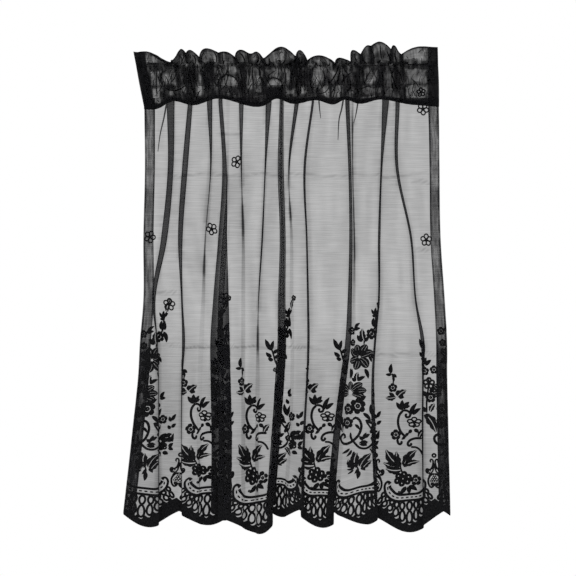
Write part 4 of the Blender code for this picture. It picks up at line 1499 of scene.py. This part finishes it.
# %% Slack rolls below the pocket
PANEL_ROLLS = (
    (1.1, ((28.9, 507), (26, 490), (21, 468), (18.1, 447))),
    (0.9, ((383, 511), (384, 500), (385.5, 489))),
    (1.1, ((414.6, 513), (412.5, 500), (409.7, 486.5), (409.2, 462))),
    (1.0, ((450.7, 511), (449, 496), (446.4, 482))), (0.7, ((100.7, 67), (103, 40), (106.3, 3))),
)
panel_rolls = LaceWork(place=laid_flat)
scroll_ribbons(panel_rolls, PANEL_ROLLS, 0.9)
panel_creases = panel_rolls.finish("net_panel_creases", NET, 1.4)

# %% Large rolls of the heading
# Each goes from one place to another, and bows out by some mm, to the right where it runs down
Roll = namedtuple("Roll", "half_width start end bow")
RUFFLE_ROLLS = (
    Roll(1.0, (-170, 15), (-148, 3), -1.5), Roll(0.8, (-176, 0), (-158, 1), 2.0),
    Roll(1.2, (-143, 12), (-141, 1), -3.0), Roll(0.9, (-134, 11), (-133, 0), 2.5),
    Roll(1.0, (-127, 15), (-124, 1), -1.0), Roll(0.8, (-119, 13), (-115, 1), 2.5),
    Roll(0.9, (-104, 15), (-107, 1), -1.5), Roll(0.8, (-92, 16), (-89, 2), 2.0),
    Roll(0.8, (-81, 15), (-79, 1), -1.0), Roll(1.5, (-69, 10), (-62, 3), 1.5),
    Roll(1.0, (-60, 15), (-53, 1), 2.0), Roll(0.8, (-50, 14), (-48, 1), 0.0),
    Roll(1.1, (-38, 14), (-41, 0), 3.0), Roll(1.2, (-33, 8), (-25, 0), -1.5),
    Roll(0.8, (-21, 14), (-6, 19), 1.0), Roll(0.8, (-23, 8), (-22, 1), 0.5),
    Roll(0.9, (-3, 8), (-8, 0), 1.5), Roll(0.9, (12, 10), (0, -1), 1.5),
    Roll(0.9, (13, 15), (19, 1), -3.0), Roll(1.3, (24, 4), (14, -3), 2.0),
    Roll(0.9, (33, 12), (31, 0), -1.5), Roll(0.9, (52, 10), (57, 1), 1.5),
    Roll(0.9, (66, 9), (63, 1), -2.0), Roll(0.8, (72, 8), (78, 1), -1.5),
    Roll(0.9, (84, 15), (87, 3), -1.5), Roll(0.9, (93, 15), (99, 1), -2.0),
    Roll(0.8, (103, 20), (107, 3), 2.0), Roll(0.8, (116, 24), (118, 5), -1.5),
    Roll(1.1, (123, 16), (127, 1), 2.0), Roll(0.9, (135, 19), (137, 3), -2.0),
    Roll(0.8, (142, 3), (171, 1), -2.0),
)
POCKET_ROLLS = (
    Roll(0.8, (-162, -4), (-162, -40), -1.0), Roll(0.8, (-156, -8), (-155, -28), -1.5),
    Roll(0.9, (-155, -27), (-126, -26), -6.0), Roll(0.8, (-138, -5), (-146, -24), 2.5),
    Roll(1.1, (-121, -2), (-114, -41), -2.5), Roll(0.9, (-108, -5), (-102, -20), 1.5),
    Roll(0.8, (-108, -32), (-114, -45), -1.0), Roll(0.9, (-73, -2), (-89, -20), 4.0),
    Roll(0.9, (-88, -25), (-61, -22), 11.0), Roll(0.9, (-60, -1), (-56, -42), 1.5),
    Roll(0.7, (-50, -2), (-49, -27), 1.5), Roll(0.8, (-43, -2), (-41, -26), -1.5),
    Roll(1.0, (-35, -1), (-30, -24), -2.0), Roll(0.9, (-27, -21), (-6, -24), 5.5),
    Roll(0.8, (-6, -1), (-4, -30), 2.5), Roll(0.9, (3, -5), (3, -24), 2.0),
    Roll(1.0, (12, -9), (16, -37), 2.0), Roll(0.8, (22, -8), (23, -33), -2.0),
    Roll(1.0, (29, -5), (32, -35), -2.5), Roll(0.9, (44, -9), (42, -31), 3.5),
    Roll(1.0, (65, 3), (51, -25), 2.0), Roll(0.9, (66, 1), (54, -37), 2.5),
    Roll(0.8, (69, 1), (76, -12), -1.5), Roll(1.0, (80, -10), (65, -27), -2.5),
    Roll(1.2, (77, -18), (73, -35), 3.0), Roll(0.8, (88, -6), (86, -26), 2.5),
    Roll(0.8, (91, -31), (104, -27), 1.0), Roll(1.0, (118, 1), (122, -41), -2.0),
    Roll(1.0, (127, -1), (139, -37), -1.5), Roll(0.8, (134, -4), (142, -22), 2.0),
    Roll(0.7, (154, -18), (163, -29), 0.5),
)


def bowed_rolls(work, rolls):
    """Slim rolls, bowed by 4 u (1 - u) and slimmer at their ends, u from 0 to 1 along each."""
    table = np.array([(*row.start, *row.end, row.bow, row.half_width) for row in rolls])
    u = np.linspace(0, 1, 24)
    ahead = table[:, None, 2:4] - table[:, None, 0:2]
    side = quarter_turn(ahead)
    side = side / np.linalg.norm(side, axis=-1, keepdims=True)
    bowed = (table[:, 4:5] * 4 * u * (1 - u))[..., None]
    path = table[:, None, 0:2] + ahead * u[:, None] + side * bowed
    path[..., 1] = np.minimum(path[..., 1], ruffle_top(path[..., 0])[0] - 1.6)
    work.add(path, table[:, 5:6] * (1 - 0.8 * (2 * u - 1)**4))


head_rolls = LaceWork(hang=front_wall, place=laid_flat, spread=0.0)
bowed_rolls(head_rolls, RUFFLE_ROLLS + POCKET_ROLLS)


# %% Fine rolls and stitching
# Shares of the height are of the ruffle above the seam and, negative, of the pocket below it
Strewn = namedtuple("Strewn", "count seed low high length turn half_width only_dark")
STREWN = (
    Strewn(110, 20, -0.7, -0.2, 22.0, 0.28, 0.55, 0.6),
    Strewn(480, 21, -0.95, -0.05, 10.0, 0.32, 0.36, 0.5),
    Strewn(170, 22, 0.05, 0.9, 6.5, 0.6, 0.4, 0.5),
    Strewn(280, 23, -0.98, -0.6, 3.0, 1.2, 0.45, 0.5),
    Strewn(150, 24, -0.1, 0.18, 4.4, 1.0, 0.62, 0.5),
)
SLACK_BELOW = 1.7


def strewn_rolls(work, count, seed, low, high, length, turn, half_width, only_dark):
    """Slim bent rolls at random places between two shares of the height.

    Each turns away from upright by a random angle, in radians. Of those that start at a slack,
    light place, the share only_dark is left out.
    """
    random = np.random.default_rng(seed)
    across = random.uniform(0.02, 0.98, count)
    top, _, _, pocket, _ = along_seam(across)
    level = random.uniform(low, high, count)
    z = np.where(level > 0, level * top, -level * pocket)
    left, right = side_lines(z)
    x = left + across * (right - left)
    angle = np.pi / 2 + random.normal(0, turn, count)
    bend = random.normal(0, 0.16, count)
    size = length * random.uniform(0.5, 1.5, count)
    u = np.linspace(-0.5, 0.5, 9)
    ahead = np.stack((np.cos(angle), np.sin(angle)), axis=1)
    side = quarter_turn(ahead)
    path = np.stack((x, z), axis=1)[:, None] + ahead[:, None] * (size[:, None] * u)[..., None]
    path = path + side[:, None] * ((size * bend)[:, None] * (1 - 4 * u * u))[..., None]
    width = half_width * random.uniform(0.5, 1.3, count)[:, None] * (1 - (2 * u)**4 * 0.8)
    column = np.clip((across * (HEADING_COLUMNS - 1)).astype(int), 0, HEADING_COLUMNS - 1)
    row = np.abs(head_z[HEADING_RINGS // 2:, column] - z).argmin(axis=0) + HEADING_RINGS // 2
    keep = (layers[row, column] > SLACK_BELOW) | (random.uniform(0, 1, count) > only_dark)
    middle_z = path[..., 1]
    inside = (middle_z.max(axis=1) < top - 0.8) & (middle_z.min(axis=1) > pocket + 0.8)
    work.add(path[keep & inside], width[keep & inside])


for row in STREWN:
    strewn_rolls(head_rolls, *row)

STITCH_ENDS = (-177, 186)
STITCH_HEIGHTS = (-27.3, -24.6)
stitch_x = np.linspace(*STITCH_ENDS, 300)
stitch_z = np.interp(stitch_x, STITCH_ENDS, STITCH_HEIGHTS) + 0.4 * np.sin(stitch_x / 9.0)
stitch_width = 0.3 + 0.08 * np.sin(stitch_x / 1.7)
head_rolls.add(np.stack((stitch_x, stitch_z), axis=1)[None], stitch_width[None])
rim_along = np.linspace(0.002, 0.998, 900)
rim_top = along_seam(rim_along)[0] - 0.85
rim_left, rim_right = side_lines(rim_top)
rim = np.stack((rim_left + rim_along * (rim_right - rim_left), rim_top), axis=1)
rim_width = 0.7 + 0.25 * np.sin(rim[:, 0] / 5.0) * np.sin(rim[:, 0] / 2.3)
head_rolls.add(rim[None], rim_width[None])
head_creases = head_rolls.finish("net_heading_creases", GATHERED, 2.0)

# %% [markdown]
# Light, floor and camera
#
# The photograph is a product shot on pure white, so the world is white, with two broad soft
# lights that only lift the dark threads a little. The floor is a small pale disc under the
# cloth, below the picture. The camera looks straight at the cloth through a long lens.

# %% World and lights
world = bpy.data.worlds.new("White studio")
bpy.context.scene.world = world
world.use_nodes = True
world.node_tree.nodes["Background"].inputs["Color"].default_value = (1, 1, 1, 1)
world.node_tree.nodes["Background"].inputs["Strength"].default_value = 1.0
bpy.context.scene.view_settings.view_transform = "Standard"


def soft_light(name, place, target, size, power):
    """Square area light turned towards a point."""
    data = bpy.data.lights.new(name, "AREA")
    data.size = size
    data.energy = power
    lamp = bpy.data.objects.new(name, data)
    lamp.location = place
    lamp.rotation_euler = (Vector(target) - Vector(place)).to_track_quat("-Z", "Y").to_euler()
    bpy.context.scene.collection.objects.link(lamp)


soft_light("key_light", (-1.2, -1.8, 0.8), (0, 0, -0.25), 1.6, 4.0)
soft_light("fill_light", (1.6, -1.4, 0.1), (0, 0, -0.25), 1.6, 2.0)

# %% Floor and camera
FLOOR_HEIGHT = -0.75
bpy.ops.mesh.primitive_circle_add(vertices=96, radius=0.45, fill_type="NGON",
                                  location=(0, 0, FLOOR_HEIGHT))
floor = bpy.context.object
floor.name = "floor"
floor.data.transform(floor.matrix_world)
floor.matrix_world.identity()
pale = bpy.data.materials.new("Pale floor")
pale.use_nodes = True
pale.node_tree.nodes["Principled BSDF"].inputs["Base Color"].default_value = (0.85, 0.85, 0.85, 1)
pale.node_tree.nodes["Principled BSDF"].inputs["Roughness"].default_value = 0.9
floor.data.materials.append(pale)

FRAME_WIDTH = 0.717
CAMERA_DISTANCE = 2.5
PICTURE_MIDDLE = (0.0006, -0.2776)
SENSOR = 36.0
camera_data = bpy.data.cameras.new("camera")
camera_data.sensor_width = SENSOR
camera_data.lens = SENSOR * CAMERA_DISTANCE / FRAME_WIDTH
camera = bpy.data.objects.new("camera", camera_data)
camera.location = (PICTURE_MIDDLE[0], -CAMERA_DISTANCE, PICTURE_MIDDLE[1])
camera.rotation_euler = (np.pi / 2, 0, 0)
bpy.context.scene.collection.objects.link(camera)
bpy.context.scene.camera = camera

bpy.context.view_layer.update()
